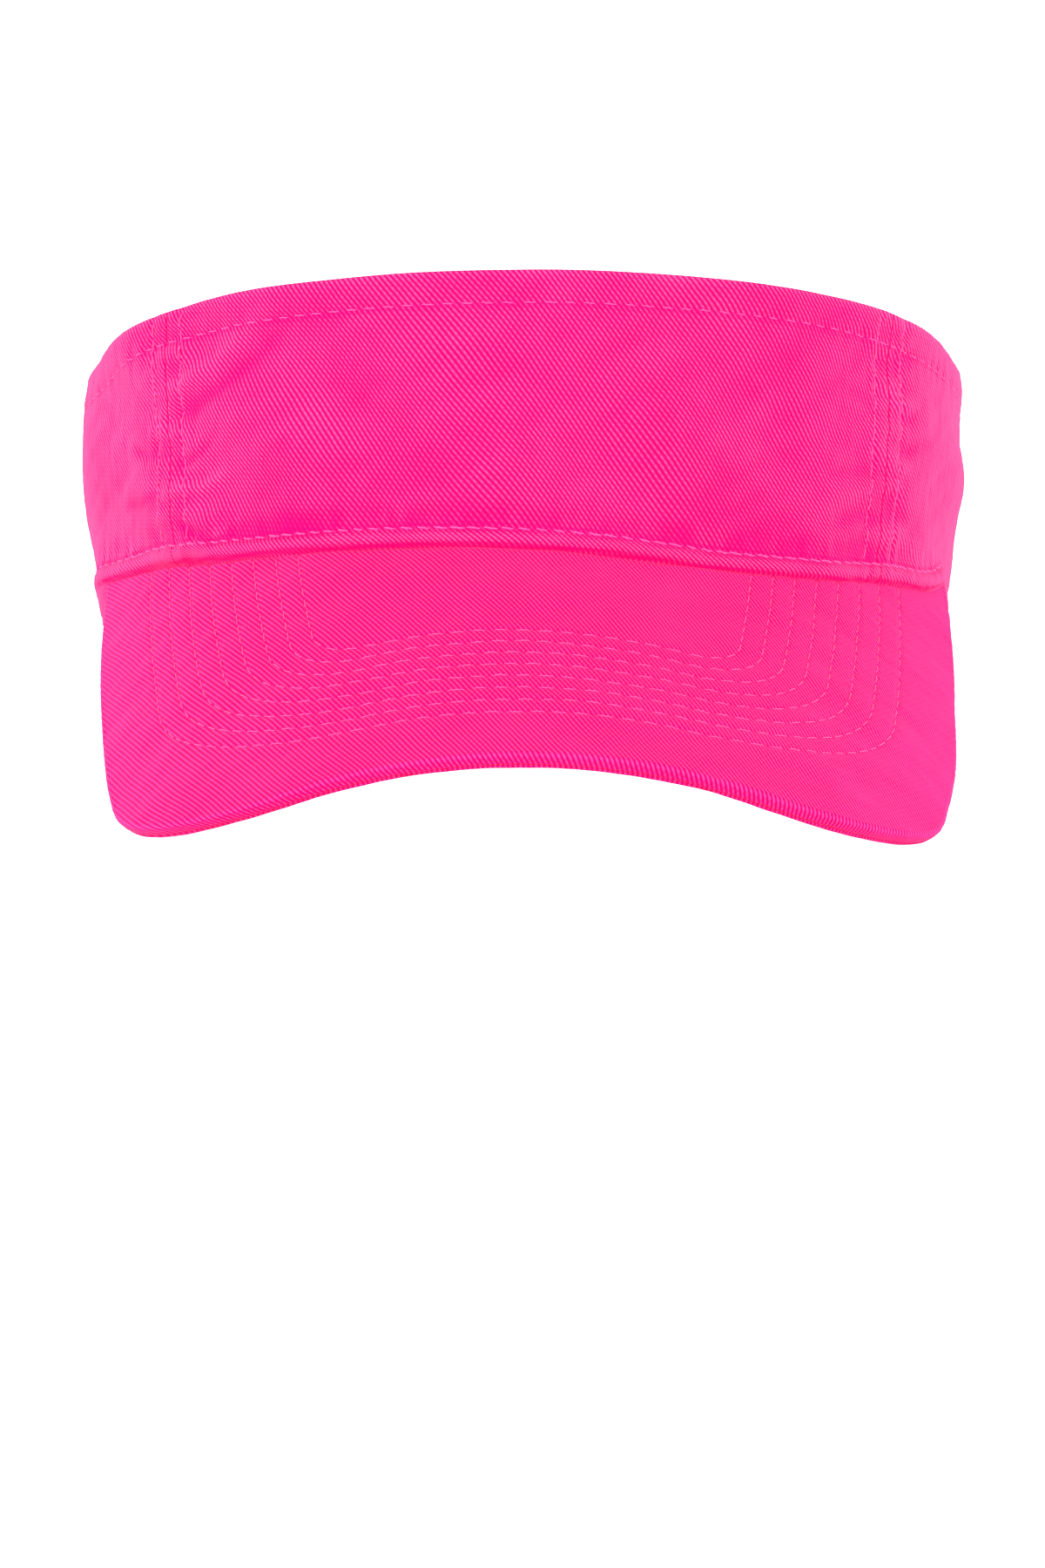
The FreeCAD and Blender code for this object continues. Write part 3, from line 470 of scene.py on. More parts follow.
class Shader:
    """A node material, with short calls for the nodes that the cloth needs."""

    def __init__(self, name):
        self.material = bpy.data.materials.new(name)
        self.material.use_nodes = True
        self.tree = self.material.node_tree
        self.tree.nodes.clear()

    def node(self, kind, settings=None, **inputs):
        made = self.tree.nodes.new(kind)
        for key, value in (settings or {}).items():
            setattr(made, key, value)
        for key, value in inputs.items():
            self.plug(made.inputs[key.replace("_", " ")], value)
        return made

    def plug(self, socket, value):
        if isinstance(value, bpy.types.NodeSocket):
            self.tree.links.new(value, socket)
        else:
            socket.default_value = value

    def math(self, operation, *values):
        made = self.tree.nodes.new("ShaderNodeMath")
        made.operation = operation
        for socket, value in zip(made.inputs, values):
            self.plug(socket, value)
        return made.outputs[0]

    def mix(self, factor, one, other):
        made = self.tree.nodes.new("ShaderNodeMix")
        made.data_type = "RGBA"
        self.plug(made.inputs[0], factor)
        self.plug(made.inputs[6], one)
        self.plug(made.inputs[7], other)
        return made.outputs[2]

    def noise(self, vector, scale, detail=2.0, roughness=0.5):
        made = self.node("ShaderNodeTexNoise", Scale=scale, Detail=detail, Roughness=roughness)
        self.plug(made.inputs["Vector"], vector)
        return made.outputs["Fac"]

    def finish(self, colour, height, depth, **surface):
        shade = self.node("ShaderNodeBsdfPrincipled", None, **surface)
        self.plug(shade.inputs["Base Color"], colour)
        if height is not None:
            relief = self.node("ShaderNodeBump", Distance=depth, Strength=1.0)
            self.plug(relief.inputs["Height"], height)
            self.plug(shade.inputs["Normal"], relief.outputs[0])
        output = self.node("ShaderNodeOutputMaterial")
        self.plug(output.inputs["Surface"], shade.outputs[0])
        return self.material


def cloth(name, deep, body, pale, angle=52.0, pitch=0.84, float_length=1.2, depth=0.00012,
          contrast=1.0, sheen=0.06):
    """Twill: diagonal ridges at an angle below the horizontal, each a row of slanted floats."""
    made = Shader(name)
    uv = made.node("ShaderNodeUVMap", {"uv_map": "UVMap"}).outputs[0]
    split = made.node("ShaderNodeSeparateXYZ", Vector=uv)
    x, y = split.outputs[0], split.outputs[1]
    drift = made.math("SUBTRACT", made.noise(uv, 0.045, 2.0), 0.5)
    lean = math.radians(angle)
    across = made.math("MULTIPLY", x, math.sin(lean) / pitch)
    across = made.math("MULTIPLY_ADD", y, math.cos(lean) / pitch, across)
    across = made.math("MULTIPLY_ADD", drift, 1.2, across)
    along = made.math("MULTIPLY", x, math.cos(lean) / float_length)
    along = made.math("MULTIPLY_ADD", y, -math.sin(lean) / float_length, along)
    shift = made.math("MULTIPLY", made.math("FLOOR", across), 0.38)
    along = made.math("ADD", along, shift)
    turn = 2 * math.pi
    ridge = made.math("SINE", made.math("MULTIPLY", across, turn))
    ridge = made.math("MULTIPLY_ADD", ridge, 0.5, 0.5)
    ridge = made.math("POWER", ridge, 1.4)
    beads = made.math("SINE", made.math("MULTIPLY", along, turn))
    beads = made.math("MULTIPLY_ADD", beads, 0.2, 0.8)
    fibre = made.noise(uv, 2.6, 4.0, 0.7)
    weave = made.math("MULTIPLY", ridge, beads)
    height = made.math("MULTIPLY_ADD", fibre, 0.35, weave)
    cloud = made.noise(uv, 0.05, 4.0, 0.6)
    blotch = made.noise(uv, 0.35, 3.0, 0.6)
    tone = made.math("MULTIPLY_ADD", blotch, 0.5, made.math("MULTIPLY_ADD", weave, 0.9, -0.2))
    tone = made.node("ShaderNodeClamp", Value=tone).outputs[0]
    base = made.mix(tone, deep, body)
    light_and_wear = made.node("ShaderNodeAttribute", {"attribute_name": "painted_light_and_wear"}).outputs["Fac"]
    lit = made.math("MULTIPLY", weave, contrast)
    lit = made.math("MULTIPLY_ADD", fibre, 0.3, lit)
    lit = made.math("MULTIPLY_ADD", cloud, 0.5, lit)
    lit = made.math("SUBTRACT", lit, 0.28 + 0.3 * contrast)
    # Positive attribute values paint highlights: they push the colour towards the pale one and raise the
    # weave's contrast.
    lit = made.math("MULTIPLY_ADD", light_and_wear, made.math("MULTIPLY_ADD", weave, 0.8, 0.3), lit)
    # Painted sheen: the colour turns paler towards grazing view angles, on top of the shader's own
    # sheen.
    painted_sheen = made.node("ShaderNodeLayerWeight", Blend=0.5).outputs["Facing"]
    painted_sheen = made.math("POWER", painted_sheen, 2.6)
    lit = made.math("MULTIPLY_ADD", painted_sheen, 1.35, lit)
    lit = made.node("ShaderNodeClamp", Value=lit).outputs[0]
    colour = made.mix(lit, base, pale)
    # Painted shade: negative attribute values mix the colour towards a deep pink shade colour.
    shade = made.math("MULTIPLY", light_and_wear, -1.0)
    shade = made.node("ShaderNodeClamp", Value=shade).outputs[0]
    colour = made.mix(shade, colour, (0.9, 0.0, 0.125, 1.0))
    return made.finish(
        colour, height, depth, Roughness=0.9, Specular_IOR_Level=0.05,
        Sheen_Weight=sheen, Sheen_Roughness=0.3, Sheen_Tint=(1.0, 0.45, 0.7, 1.0),
    )


def thread_material(name, colour, pale):
    made = Shader(name)
    uv = made.node("ShaderNodeUVMap", {"uv_map": "UVMap"}).outputs[0]
    split = made.node("ShaderNodeSeparateXYZ", Vector=uv)
    ply = made.math("MULTIPLY_ADD", split.outputs[0], 1.7, split.outputs[1])
    twist = made.math("SINE", made.math("MULTIPLY", ply, 2 * math.pi))
    twist = made.math("MULTIPLY_ADD", twist, 0.5, 0.5)
    fuzz = made.noise(uv, 1.2, 2.0)
    shade = made.mix(made.math("MULTIPLY", twist, fuzz), colour, pale)
    return made.finish(
        shade, twist, 0.00006, Roughness=0.55, Specular_IOR_Level=0.35,
        Sheen_Weight=0.3, Sheen_Roughness=0.3,
    )


def metal_material(name):
    """Antiqued brass: bright where it is rubbed, brown in the hollows, with fine scratches."""
    made = Shader(name)
    place = made.node("ShaderNodeTexCoord").outputs["Object"]
    patina = made.noise(place, 260.0, 6.0, 0.65)
    scratch_map = made.node("ShaderNodeMapping", Vector=place)
    scratch_map.inputs["Scale"].default_value = (300.0, 300.0, 5200.0)
    scratch = made.noise(scratch_map.outputs[0], 1.0, 3.0)
    edge = made.node("ShaderNodeNewGeometry").outputs["Pointiness"]
    rubbed = made.node("ShaderNodeMapRange", Value=edge, From_Min=0.5, From_Max=0.62).outputs[0]
    tone = made.math("MULTIPLY_ADD", patina, 0.8, made.math("MULTIPLY", rubbed, 0.7))
    tone = made.node("ShaderNodeClamp", Value=tone).outputs[0]
    colour = made.mix(tone, (0.09, 0.05, 0.02, 1.0), (0.55, 0.37, 0.16, 1.0))
    rough = made.node("ShaderNodeMapRange", Value=patina, To_Min=0.2, To_Max=0.5).outputs[0]
    relief = made.math("MULTIPLY_ADD", scratch, 0.4, made.math("MULTIPLY", patina, 0.6))
    return made.finish(colour, relief, 0.00003, Roughness=rough, Metallic=1.0)


def plain_material(name, colour, roughness, scale, depth):
    made = Shader(name)
    place = made.node("ShaderNodeTexCoord").outputs["Object"]
    grain = made.noise(place, scale, 4.0)
    pale = tuple(min(1.0, part * 1.12) for part in colour) + (1.0,)
    shade = made.mix(grain, colour + (1.0,), pale)
    return made.finish(shade, grain, depth, Roughness=roughness)


# The pale colours are the weave's pale fibres and also the colour of the painted highlights and painted
# sheen in cloth().
PINK_DEEP = (0.94, 0.0, 0.10, 1.0)
PINK_BODY = (1.0, 0.004, 0.155, 1.0)
PINK_PALE = (1.0, 0.074, 0.25, 1.0)
BILL_BODY = (1.0, 0.0, 0.15, 1.0)
BILL_PALE = (1.0, 0.042, 0.24, 1.0)
INSIDE_DEEP = (0.86, 0.01, 0.17, 1.0)
INSIDE_BODY = (0.92, 0.025, 0.23, 1.0)
INSIDE_PALE = (0.97, 0.12, 0.36, 1.0)
TWILL = cloth("panel_twill", PINK_DEEP, PINK_BODY, PINK_PALE)
BILL_TWILL = cloth("bill_twill", PINK_DEEP, BILL_BODY, BILL_PALE, angle=62.5, contrast=1.5)
STRAP_TWILL = cloth("strap_twill", PINK_DEEP, PINK_BODY, PINK_PALE)
LINING = cloth("lining_weave", INSIDE_DEEP, INSIDE_BODY, INSIDE_PALE, angle=90.0, pitch=0.5,
               float_length=0.5, depth=0.00006, contrast=0.5)
TERRY = cloth("sweatband_weave", INSIDE_DEEP, INSIDE_BODY, INSIDE_PALE, angle=63.0, pitch=0.62,
              float_length=0.6, depth=0.0001, contrast=0.8, sheen=0.3)
LABEL = cloth("label_satin", (0.72, 0.70, 0.66, 1.0), (0.85, 0.84, 0.80, 1.0),
              (0.97, 0.97, 0.95, 1.0), angle=80.0, pitch=0.32, depth=0.00003)
THREAD = thread_material("thread_gloss", (1.0, 0.035, 0.26, 1.0), (1.0, 0.12, 0.42, 1.0))
BRASS = metal_material("antiqued_brass")
BOARD = plain_material("brim_board", (0.78, 0.78, 0.74), 0.5, 900.0, 0.00004)

# --- the panels ---

SEAM_AROUND = around_at(SEAM_ANGLE)
LEFT_AROUND = around_at(LEFT_END)
RIGHT_AROUND = around_at(-RIGHT_END)
PANEL_THICKNESS = 1.0


def wing_around():
    """Distance round the wall to the bill's wing tip."""
    trial = np.linspace(60.0, 150.0, 1801)
    reach = bill_seam(trial)[1][:, 1]
    return float(np.interp(-WING, -reach, trial))


WING_AROUND = wing_around()


def lower_line(around):
    """The visible lower edge: the bill seam in front, the panels' own edge behind the wings."""
    seam = bill_seam(np.clip(around, -WING_AROUND, WING_AROUND))[0]
    free = bottom_height(around)
    behind = smooth(WING_AROUND - 2, WING_AROUND + 24, np.abs(around))
    return seam * (1 - behind) + free * behind


def crease(around, height, start, end, width, depth):
    """A soft fold along a line on the wall, between two (around, height) points."""
    start, end = np.array(start), np.array(end)
    length = np.linalg.norm(end - start)
    along = (end - start) / length
    x, y = around - start[0], height - start[1]
    far = (x * along[0] + y * along[1]) / length
    aside = y * along[0] - x * along[1] + 0.06 * length * np.sin(math.pi * np.clip(far, 0, 1))
    return depth * bump(aside, width) * smooth(-0.15, 0.2, far) * smooth(1.25, 0.6, far)


CREASES = (
    # start, end, width, depth: folds that run out from the side seams and up from the bill seam
    ((-79, 37), (-46, 55), 2.0, -0.60),
    ((-81, 42), (-52, 57), 1.7, 0.55),
    ((-74, 31), (-42, 48), 3.0, 0.30),
    ((-80, 27), (-64, 34), 1.3, -0.50),
    ((-80, 23), (-62, 26), 1.2, 0.45),
    ((-80, 17), (-66, 12), 1.2, -0.45),
    ((-78, 12), (-60, 17), 1.2, 0.35),
    ((-95, 32), (-82, 30), 1.3, -0.40),
    ((-99, 21), (-82, 24), 1.3, -0.40),
    ((-66, 15), (-30, 17), 3.0, -0.50),
    ((-40, 18), (-6, 30), 4.0, -0.35),
    ((79, 38), (62, 44), 1.6, -0.22),
    ((81, 27), (62, 25), 1.5, -0.25),
    ((81, 23), (64, 20), 1.4, 0.22),
    ((79, 19), (64, 15), 1.4, -0.20),
    ((98, 34), (84, 30), 1.5, -0.20),
    ((60, 12), (24, 17), 3.2, -0.45),
    ((30, 40), (64, 54), 4.0, -0.30),
)


def panel_relief(around, height):
    """How far the cloth stands out of the smooth wall, and its painted light and shade, with a paler top
    edge.
    """
    from_top = top_height(around) - height
    above = height - lower_line(around)
    at_side = np.abs(np.abs(around) - SEAM_AROUND)
    fine = folds(around, height, 3, 4.0, 7.0)
    middling = folds(around, height, 4, 17.0, 12.0)
    broad = folds(around, height, 5, 60.0, 38.0)
    across_hem = folds(around, height, 6, 5.5, 40.0)
    across_seam = folds(around, height, 7, 30.0, 8.0)
    wrinkles = 0.06 * middling + 0.03 * fine + 0.20 * across_seam * bump(at_side, 8.0)
    # Painted light and shade on the folds: lighter along their crests, darker in their troughs, most in
    # the narrow creases.
    fold_shading = 0.6 * wrinkles
    for start, end, width, depth in CREASES:
        fold = crease(around, height, start, end, width, depth)
        wrinkles = wrinkles + fold
        fold_shading = fold_shading + fold * 0.9 / width
    relief = 0.40 * broad + wrinkles
    relief = relief - 0.14 * bump(from_top - HEM_STITCH, 0.7)
    relief = relief + 0.16 * smooth(0.2, 2.0, from_top) * smooth(6.4, 4.6, from_top)
    relief = relief + 0.08 * across_hem * bump(from_top - HEM_STITCH, 3.0)
    relief = relief - 0.7 * bump(from_top, 4.5) * smooth(96, 122, np.abs(around))
    relief = relief - 0.26 * bump(above - LOWER_STITCH, 0.5)
    on_bill = smooth(WING_AROUND + 6, WING_AROUND - 4, np.abs(around))
    roll = 0.85 * np.sqrt(np.clip(1 - ((above - 1.65) / 1.8) ** 2, 0, 1))
    relief = relief + roll * (0.35 + 0.65 * on_bill)
    relief = relief - 0.30 * bump(above - 5.6, 2.0)
    relief = relief + 0.10 * across_hem * bump(above - 5.0, 3.0)
    relief = relief - 0.45 * smooth(0.2, -0.3, above) * on_bill
    relief = relief - 0.08 * bump(at_side - SIDE_STITCH, 0.6)
    relief = relief + 0.08 * smooth(SIDE_STITCH - 0.4, SIDE_STITCH - 1.6, at_side)
    relief = relief + 0.08 * fine * bump(at_side - SIDE_STITCH, 1.6)
    # Painted shade: in the crease under the roll at the bill seam, in the hollow above the lower
    # stitching, along the roll just under that stitching, down the side seams, and just past the hem and
    # lower stitch lines.
    hollow = smooth(3.6, 4.4, above) * smooth(10.0, 5.0, above) * smooth(100, 70, np.abs(around))
    shade = 0.8 * bump(above - 0.15, 0.35) + 0.20 * hollow * (1 + 0.4 * across_hem)
    shade = shade + 0.35 * bump(above - 2.95, 0.3)
    shade = shade * on_bill
    shade = shade + 0.55 * bump(at_side, 0.25)
    shade = shade + 0.25 * bump(from_top - HEM_STITCH - 0.4, 0.5)
    shade = shade + 0.35 * bump(above - LOWER_STITCH - 0.5, 0.4)
    # Paler along the top edge; a painted highlight along the crest of the roll and on the lips beside
    # the side seams; then the painted fold light and shade, less the painted shade.
    painted_light_and_wear = 0.30 * bump(from_top - 0.4, 0.9) + 0.35 * bump(above - 1.7, 0.8)
    painted_light_and_wear = painted_light_and_wear + 0.12 * bump(at_side - 0.7, 0.4) + fold_shading - shade
    return relief, painted_light_and_wear


def cloth_uv(around, height):
    """Weave coordinates: longer over the roll at the bill seam, and pulled about by the seams."""
    above = height - lower_line(around)
    at_side = np.abs(np.abs(around) - SEAM_AROUND)
    pull = bump(at_side, 16.0)
    x = around + pull * 0.45 * folds(around, height, 11, 24.0, 12.0)
    x = x + 0.7 * folds(around, height, 12, 60.0, 40.0)
    y = height - 1.6 * smooth(4.0, 0.4, above)
    return stack(x, y)


def panel(name, start, end):
    """One outer panel: hemmed at the top, turned in at its seams, tucked in behind the bill."""
    columns = start + spaced(end - start, 0.65)
    share = spaced(60.0, 0.65) / 60.0
    around = columns[None, :] * np.ones((len(share), 1))
    low, high = bottom_height(around), top_height(around)
    height = low + share[:, None] * (high - low)
    relief, painted_light_and_wear = panel_relief(around, height)
    from_side = np.minimum(around - start, end - around)
    from_end = np.minimum(high - height, height - low)
    drop = rounded(from_side, 0.3) + rounded(from_end, 0.5)
    hem = smooth(8.6, 7.9, high - height)
    thickness = PANEL_THICKNESS - 0.1 + 1.25 * hem * (np.abs(around) < around_at(BACKING_END))
    quiet = smooth(around_at(BACKING_END) + 4, around_at(BACKING_END) - 8, np.abs(around))
    moved = np.where(relief < 0, relief * (0.35 + 0.65 * quiet), relief)
    outer = wall(around, height, moved - drop)
    follow = np.minimum(moved, 0.3 * np.abs(moved)) * quiet * 0.8
    inner = wall(around, height, np.minimum(follow - thickness + drop, moved - drop - 0.08))
    uv = cloth_uv(around, height)
    shell(name, outer, inner, uv, TWILL, [name], painted_light_and_wear=painted_light_and_wear)


def make_panels():
    gap = 0.02
    panel("front_panel", -SEAM_AROUND + gap, SEAM_AROUND - gap)
    panel("left_side_panel", SEAM_AROUND + gap, LEFT_AROUND)
    panel("right_side_panel", RIGHT_AROUND, -SEAM_AROUND - gap)


def inner_layer(name, start, end, low, high, outer_offset, inner_offset, material,
                puff=0.0, step=1.0):
    """A layer inside the band, between two height functions."""
    columns = start + spaced(end - start, step)
    share = spaced(30.0, 0.8) / 30.0
    around = columns[None, :] * np.ones((len(share), 1))
    bottom, top = low(around), high(around)
    height = bottom + share[:, None] * (top - bottom)
    from_side = np.minimum(around - start, end - around)
    from_end = np.minimum(top - height, height - bottom)
    drop = rounded(np.minimum(from_side, from_end), 0.55)
    soft = 0.05 * folds(around, height, 21, 14.0, 9.0)
    beside_label = 1 - 0.9 * smooth(26, 17, np.abs(around))
    swell = smooth(0, 5, from_end) * (1 + 0.25 * beside_label * folds(around, height, 22, 16.0, 30.0))
    swell = puff * swell
    outer = wall(around, height, outer_offset - drop)
    inner = wall(around, height, inner_offset + drop - swell + soft)
    # the inner face looks at the head, so it carries the outward-facing winding
    shell(name, outer, inner, stack(around, height), material, [name])


def above(edge, rise):
    """The height function of a line at a fixed rise above one of the band's edges."""
    def height(around):
        return edge(around) + rise
    return height


def make_linings():
    backing_end = around_at(BACKING_END)
    low = above(bottom_height, LINING_BOTTOM_GAP)
    high = above(top_height, -LINING_TOP_GAP)
    gap = LINING_SIDE_GAP
    spans = {
        "front_panel_backing": (gap - SEAM_AROUND, SEAM_AROUND - gap),
        "left_side_backing": (SEAM_AROUND + gap, backing_end),
        "right_side_backing": (-backing_end, -SEAM_AROUND - gap),
    }
    for name, (start, end) in spans.items():
        inner_layer(name, start, end, low, high, -1.15, -2.45, LINING)
    low = above(bottom_height, SWEATBAND_BOTTOM_GAP)
    high = above(bottom_height, SWEATBAND_HEIGHT)
    start, end = -around_at(SWEATBAND_RIGHT_END), LEFT_AROUND
    inner_layer("sweatband", start, end, low, high, -2.65, -3.9, TERRY, 0.5)
    low = above(bottom_height, LABEL_LOW)
    high = above(bottom_height, LABEL_HIGH)
    width = around_at(0) + 15.0
    inner_layer("blank_label", -width, width, low, high, -4.45, -4.95, LABEL, step=1.5)


# --- the bill ---


def mirror_curve(half):
    """A full curve from the left wing to the right one, from its right half."""
    left = half[:0:-1] * np.array([-1.0 if i % 2 == 0 else 1.0 for i in range(half.shape[1])])
    return np.concatenate((left, half))


def resample(curve, count):
    steps = np.linalg.norm(np.diff(curve[:, :2], axis=0), axis=1)
    length = np.concatenate(((0.0,), np.cumsum(steps)))
    want = np.linspace(0, length[-1], count)
    return stack(*(np.interp(want, length, curve[:, axis]) for axis in range(curve.shape[1])))


BILL_COLUMNS = 401
OUTLINE = resample(mirror_curve(half_outline(0, 0, CORNER)), BILL_COLUMNS)
SEAM_CURVE = resample(bill_seam(np.linspace(-WING_AROUND, WING_AROUND, 801))[1], BILL_COLUMNS)


def bill_plan(insets):
    """Rows of plan points from the seam to the curve an inset inside the edge."""
    edge = OUTLINE[:, :2] - OUTLINE[:, 2:] * insets
    return SEAM_CURVE, edge


def bill_uv(points):
    """Weave coordinates: millimetres round the arch and up the bill."""
    x, u = points[..., 0], points[..., 1]
    around = ARCH * np.arcsin(np.clip(x / ARCH, -1, 1))
    return stack(around + 0.15 * folds(x, u, 14, 70.0, 50.0), -u)


def bill_relief(points, from_seam):
    """Relief of the bill's upper face: stitch grooves, puffs between them, soft unevenness; and its
    painted light: painted highlights beside the stitch grooves, painted shade in them and along the
    seam.
    """
    x, u = points[..., 0], points[..., 1]
    relief = 0.10 * folds(x, u, 31, 40.0, 30.0) + 0.025 * folds(x, u, 32, 9.0, 7.0)
    painted_light_and_wear = 0 * x
    for row in range(1, ROWS + 1):
        distance = inset_depth(points, *row_shape(row))
        relief = relief - 0.16 * bump(distance, 0.42)
        pucker = folds(x, u, 40 + row, 3.5, 3.5)
        relief = relief + 0.035 * pucker * bump(distance, 1.3)
        # Painted highlights on the puffs beside each stitch groove, painted shade in the groove.
        painted_light_and_wear = painted_light_and_wear + 0.06 * bump(np.abs(distance) - 0.5, 0.3) - 0.3 * bump(distance, 0.25)
    relief = relief - 0.30 * bump(from_seam, 0.5)
    # Painted shade along the seam crease.
    painted_light_and_wear = painted_light_and_wear - 0.6 * bump(from_seam, 0.4)
    return relief, painted_light_and_wear


def edge_profile():
    """(inset, height, outward share, upward share) down over the bill's edge."""
    shoulder, lower, face_low = 0.9, 0.6, -1.8
    rows = []
    for angle in np.radians((12, 26, 40, 54, 68, 80, 90)):
        swing = shoulder * (1 - math.sin(angle))
        rows.append((swing, -shoulder * (1 - math.cos(angle)), math.sin(angle), math.cos(angle)))
    for height in np.linspace(-shoulder, face_low, 4)[1:]:
        rows.append((0.0, height, 1.0, 0.0))
    for angle in np.radians((25, 50, 75)):
        swing = lower * (1 - math.cos(angle))
        rows.append((swing, face_low - lower * math.sin(angle), math.cos(angle), -math.sin(angle)))
    return rows


def make_bill_top():
    share = spaced(76.0, 0.62, (0.0, 0.15, 0.35, 0.65, 1.0)) / 76.0
    seam, edge = bill_plan(0.9)
    points = seam[None] + share[:, None, None] * (edge - seam)[None]
    from_seam = share[:, None] * np.linalg.norm(edge - seam, axis=-1)[None]
    relief, painted_light_and_wear = bill_relief(points, from_seam)
    outer = bill_point(points, relief)
    inner = bill_point(points, np.minimum(relief - 0.3, -0.55))
    uv = [bill_uv(points)]
    outer_rows, inner_rows, painted_light_rows = [outer], [inner], [painted_light_and_wear]
    path = 0.0
    last = (0.9, 0.0)
    ridges = folds(np.arange(BILL_COLUMNS) * 0.9, 0.0, 33, 2.6, 1.0)
    for inset, height, outwards, upwards in edge_profile():
        path += math.hypot(inset - last[0], height - last[1])
        last = (inset, height)
        plan_row = OUTLINE[:, :2] - OUTLINE[:, 2:] * inset
        ripple = 0.035 * ridges * outwards
        plan_out = plan_row + OUTLINE[:, 2:] * ripple[:, None]
        outer_rows.append(bill_point(plan_out, np.full(BILL_COLUMNS, height))[None])
        plan_in = plan_row - OUTLINE[:, 2:] * (0.5 * outwards)
        inner_rows.append(bill_point(plan_in, np.full(BILL_COLUMNS, height - 0.5 * upwards))[None])
        uv.append(bill_uv(edge + OUTLINE[:, 2:] * path)[None])
        # Painted highlight on the edge's rounded shoulder, strongest where the surface faces about 42
        # degrees out from up.
        shoulder_highlight = 0.75 * math.exp(-(((math.degrees(math.atan2(outwards, upwards)) - 42) / 26) ** 2))
        painted_light_rows.append(np.full((1, BILL_COLUMNS), shoulder_highlight))
    shell(
        "bill_top_cover", np.concatenate(outer_rows), np.concatenate(inner_rows),
        np.concatenate(uv), BILL_TWILL, ["bill_top_cover"],
        painted_light_and_wear=np.concatenate(painted_light_rows),
    )


def make_bill_bottom():
    share = spaced(76.0, 0.8) / 76.0
    seam, edge = bill_plan(0.12)
    points = seam[None] + share[:, None, None] * (edge - seam)[None]
    from_seam = share[:, None] * np.linalg.norm(edge - seam, axis=-1)[None]
    relief, painted_light_and_wear = bill_relief(points, from_seam + 20)
    from_edge = np.minimum(from_seam, (1 - share)[:, None] * np.linalg.norm(edge - seam, axis=-1))
    drop = rounded(from_edge, 0.28)
    lower = bill_point(points, -BILL_THICKNESS - relief * 0.8 + drop)
    upper = bill_point(points, -BILL_THICKNESS + 0.6 - drop)
    uv = bill_uv(points)
    shell("bill_bottom_cover", upper, lower, uv, BILL_TWILL,
          ["bill_bottom_cover"], painted_light_and_wear=painted_light_and_wear)


def make_bill_welt():
    """The turned-in cover edges, a soft cord round the board inside the covers."""
    insets = np.array((0.62, 0.75, 1.0, 1.3, 1.45))
    edge = np.sin(np.linspace(0, math.pi, len(insets)))
    plan_rows = OUTLINE[None, :, :2] - OUTLINE[None, :, 2:] * insets[:, None, None]
    upper = bill_point(plan_rows, np.broadcast_to((-1.1 + 0.3 * edge)[:, None], plan_rows.shape[:2]))
    lower = bill_point(plan_rows, np.broadcast_to((-1.9 - 0.3 * edge)[:, None], plan_rows.shape[:2]))
    shell("bill_edge_welt", upper[::-1], lower[::-1], plan_rows[::-1], BILL_TWILL,
          ["bill_edge_welt"])


def make_bill_board():
    """The stiff board between the covers."""
    share = spaced(70.0, 3.0) / 70.0
    seam, edge = bill_plan(1.65)
    points = seam[None] + share[:, None, None] * (edge - seam)[None]
    span = np.linalg.norm(edge - seam, axis=-1)[None]
    drop = rounded(np.minimum(share[:, None] * span, (1 - share[:, None]) * span), 0.3)
    shell("bill_board", bill_point(points, -0.7 - drop)[:, ::3], bill_point(points, -2.3 + drop)[:, ::3],
          points[:, ::3], BOARD, ["bill_board"])


def row_lines(row, underneath):
    """A stitch row as a line of points and normals on the bill, from wing to wing."""
    half = half_outline(*row_shape(row))[:, :2]
    curve = mirror_curve(half)
    seam_u = np.interp(curve[:, 0], SEAM_CURVE[:, 0], SEAM_CURVE[:, 1])
    curve = curve[curve[:, 1] > seam_u + 0.6]
    relief = bill_relief(curve, np.full(len(curve), 9.0))[0]
    height = -BILL_THICKNESS - 0.8 * relief - 0.03 if underneath else relief + 0.03
    points = bill_point(curve, height)
    normals = bill_normal(curve) * (-1 if underneath else 1)
    return to_row(points), normals @ BAND_AXES


def make_bill_stitching():
    for row in range(1, ROWS + 1):
        lines = [row_lines(row, False), row_lines(row, True)]
        thread_piece(
            f"bill_stitch_row_{row}", lines, [f"bill_stitch_row_{row}"], pitch=4.15,
            radius=0.11, lift=0.08, dip=0.3, slant=0.15, seed=row, body_shape=0.8,
        )


# --- stitching on the band ---


def band_line(around, height):
    """A line on the band's outer face as points and normals, in the row frame."""
    relief = panel_relief(around, height)[0]
    points = wall(around, height, relief)
    normals = wall_normal(around) * np.ones((len(around), 1))
    return to_row(points), normals @ BAND_AXES


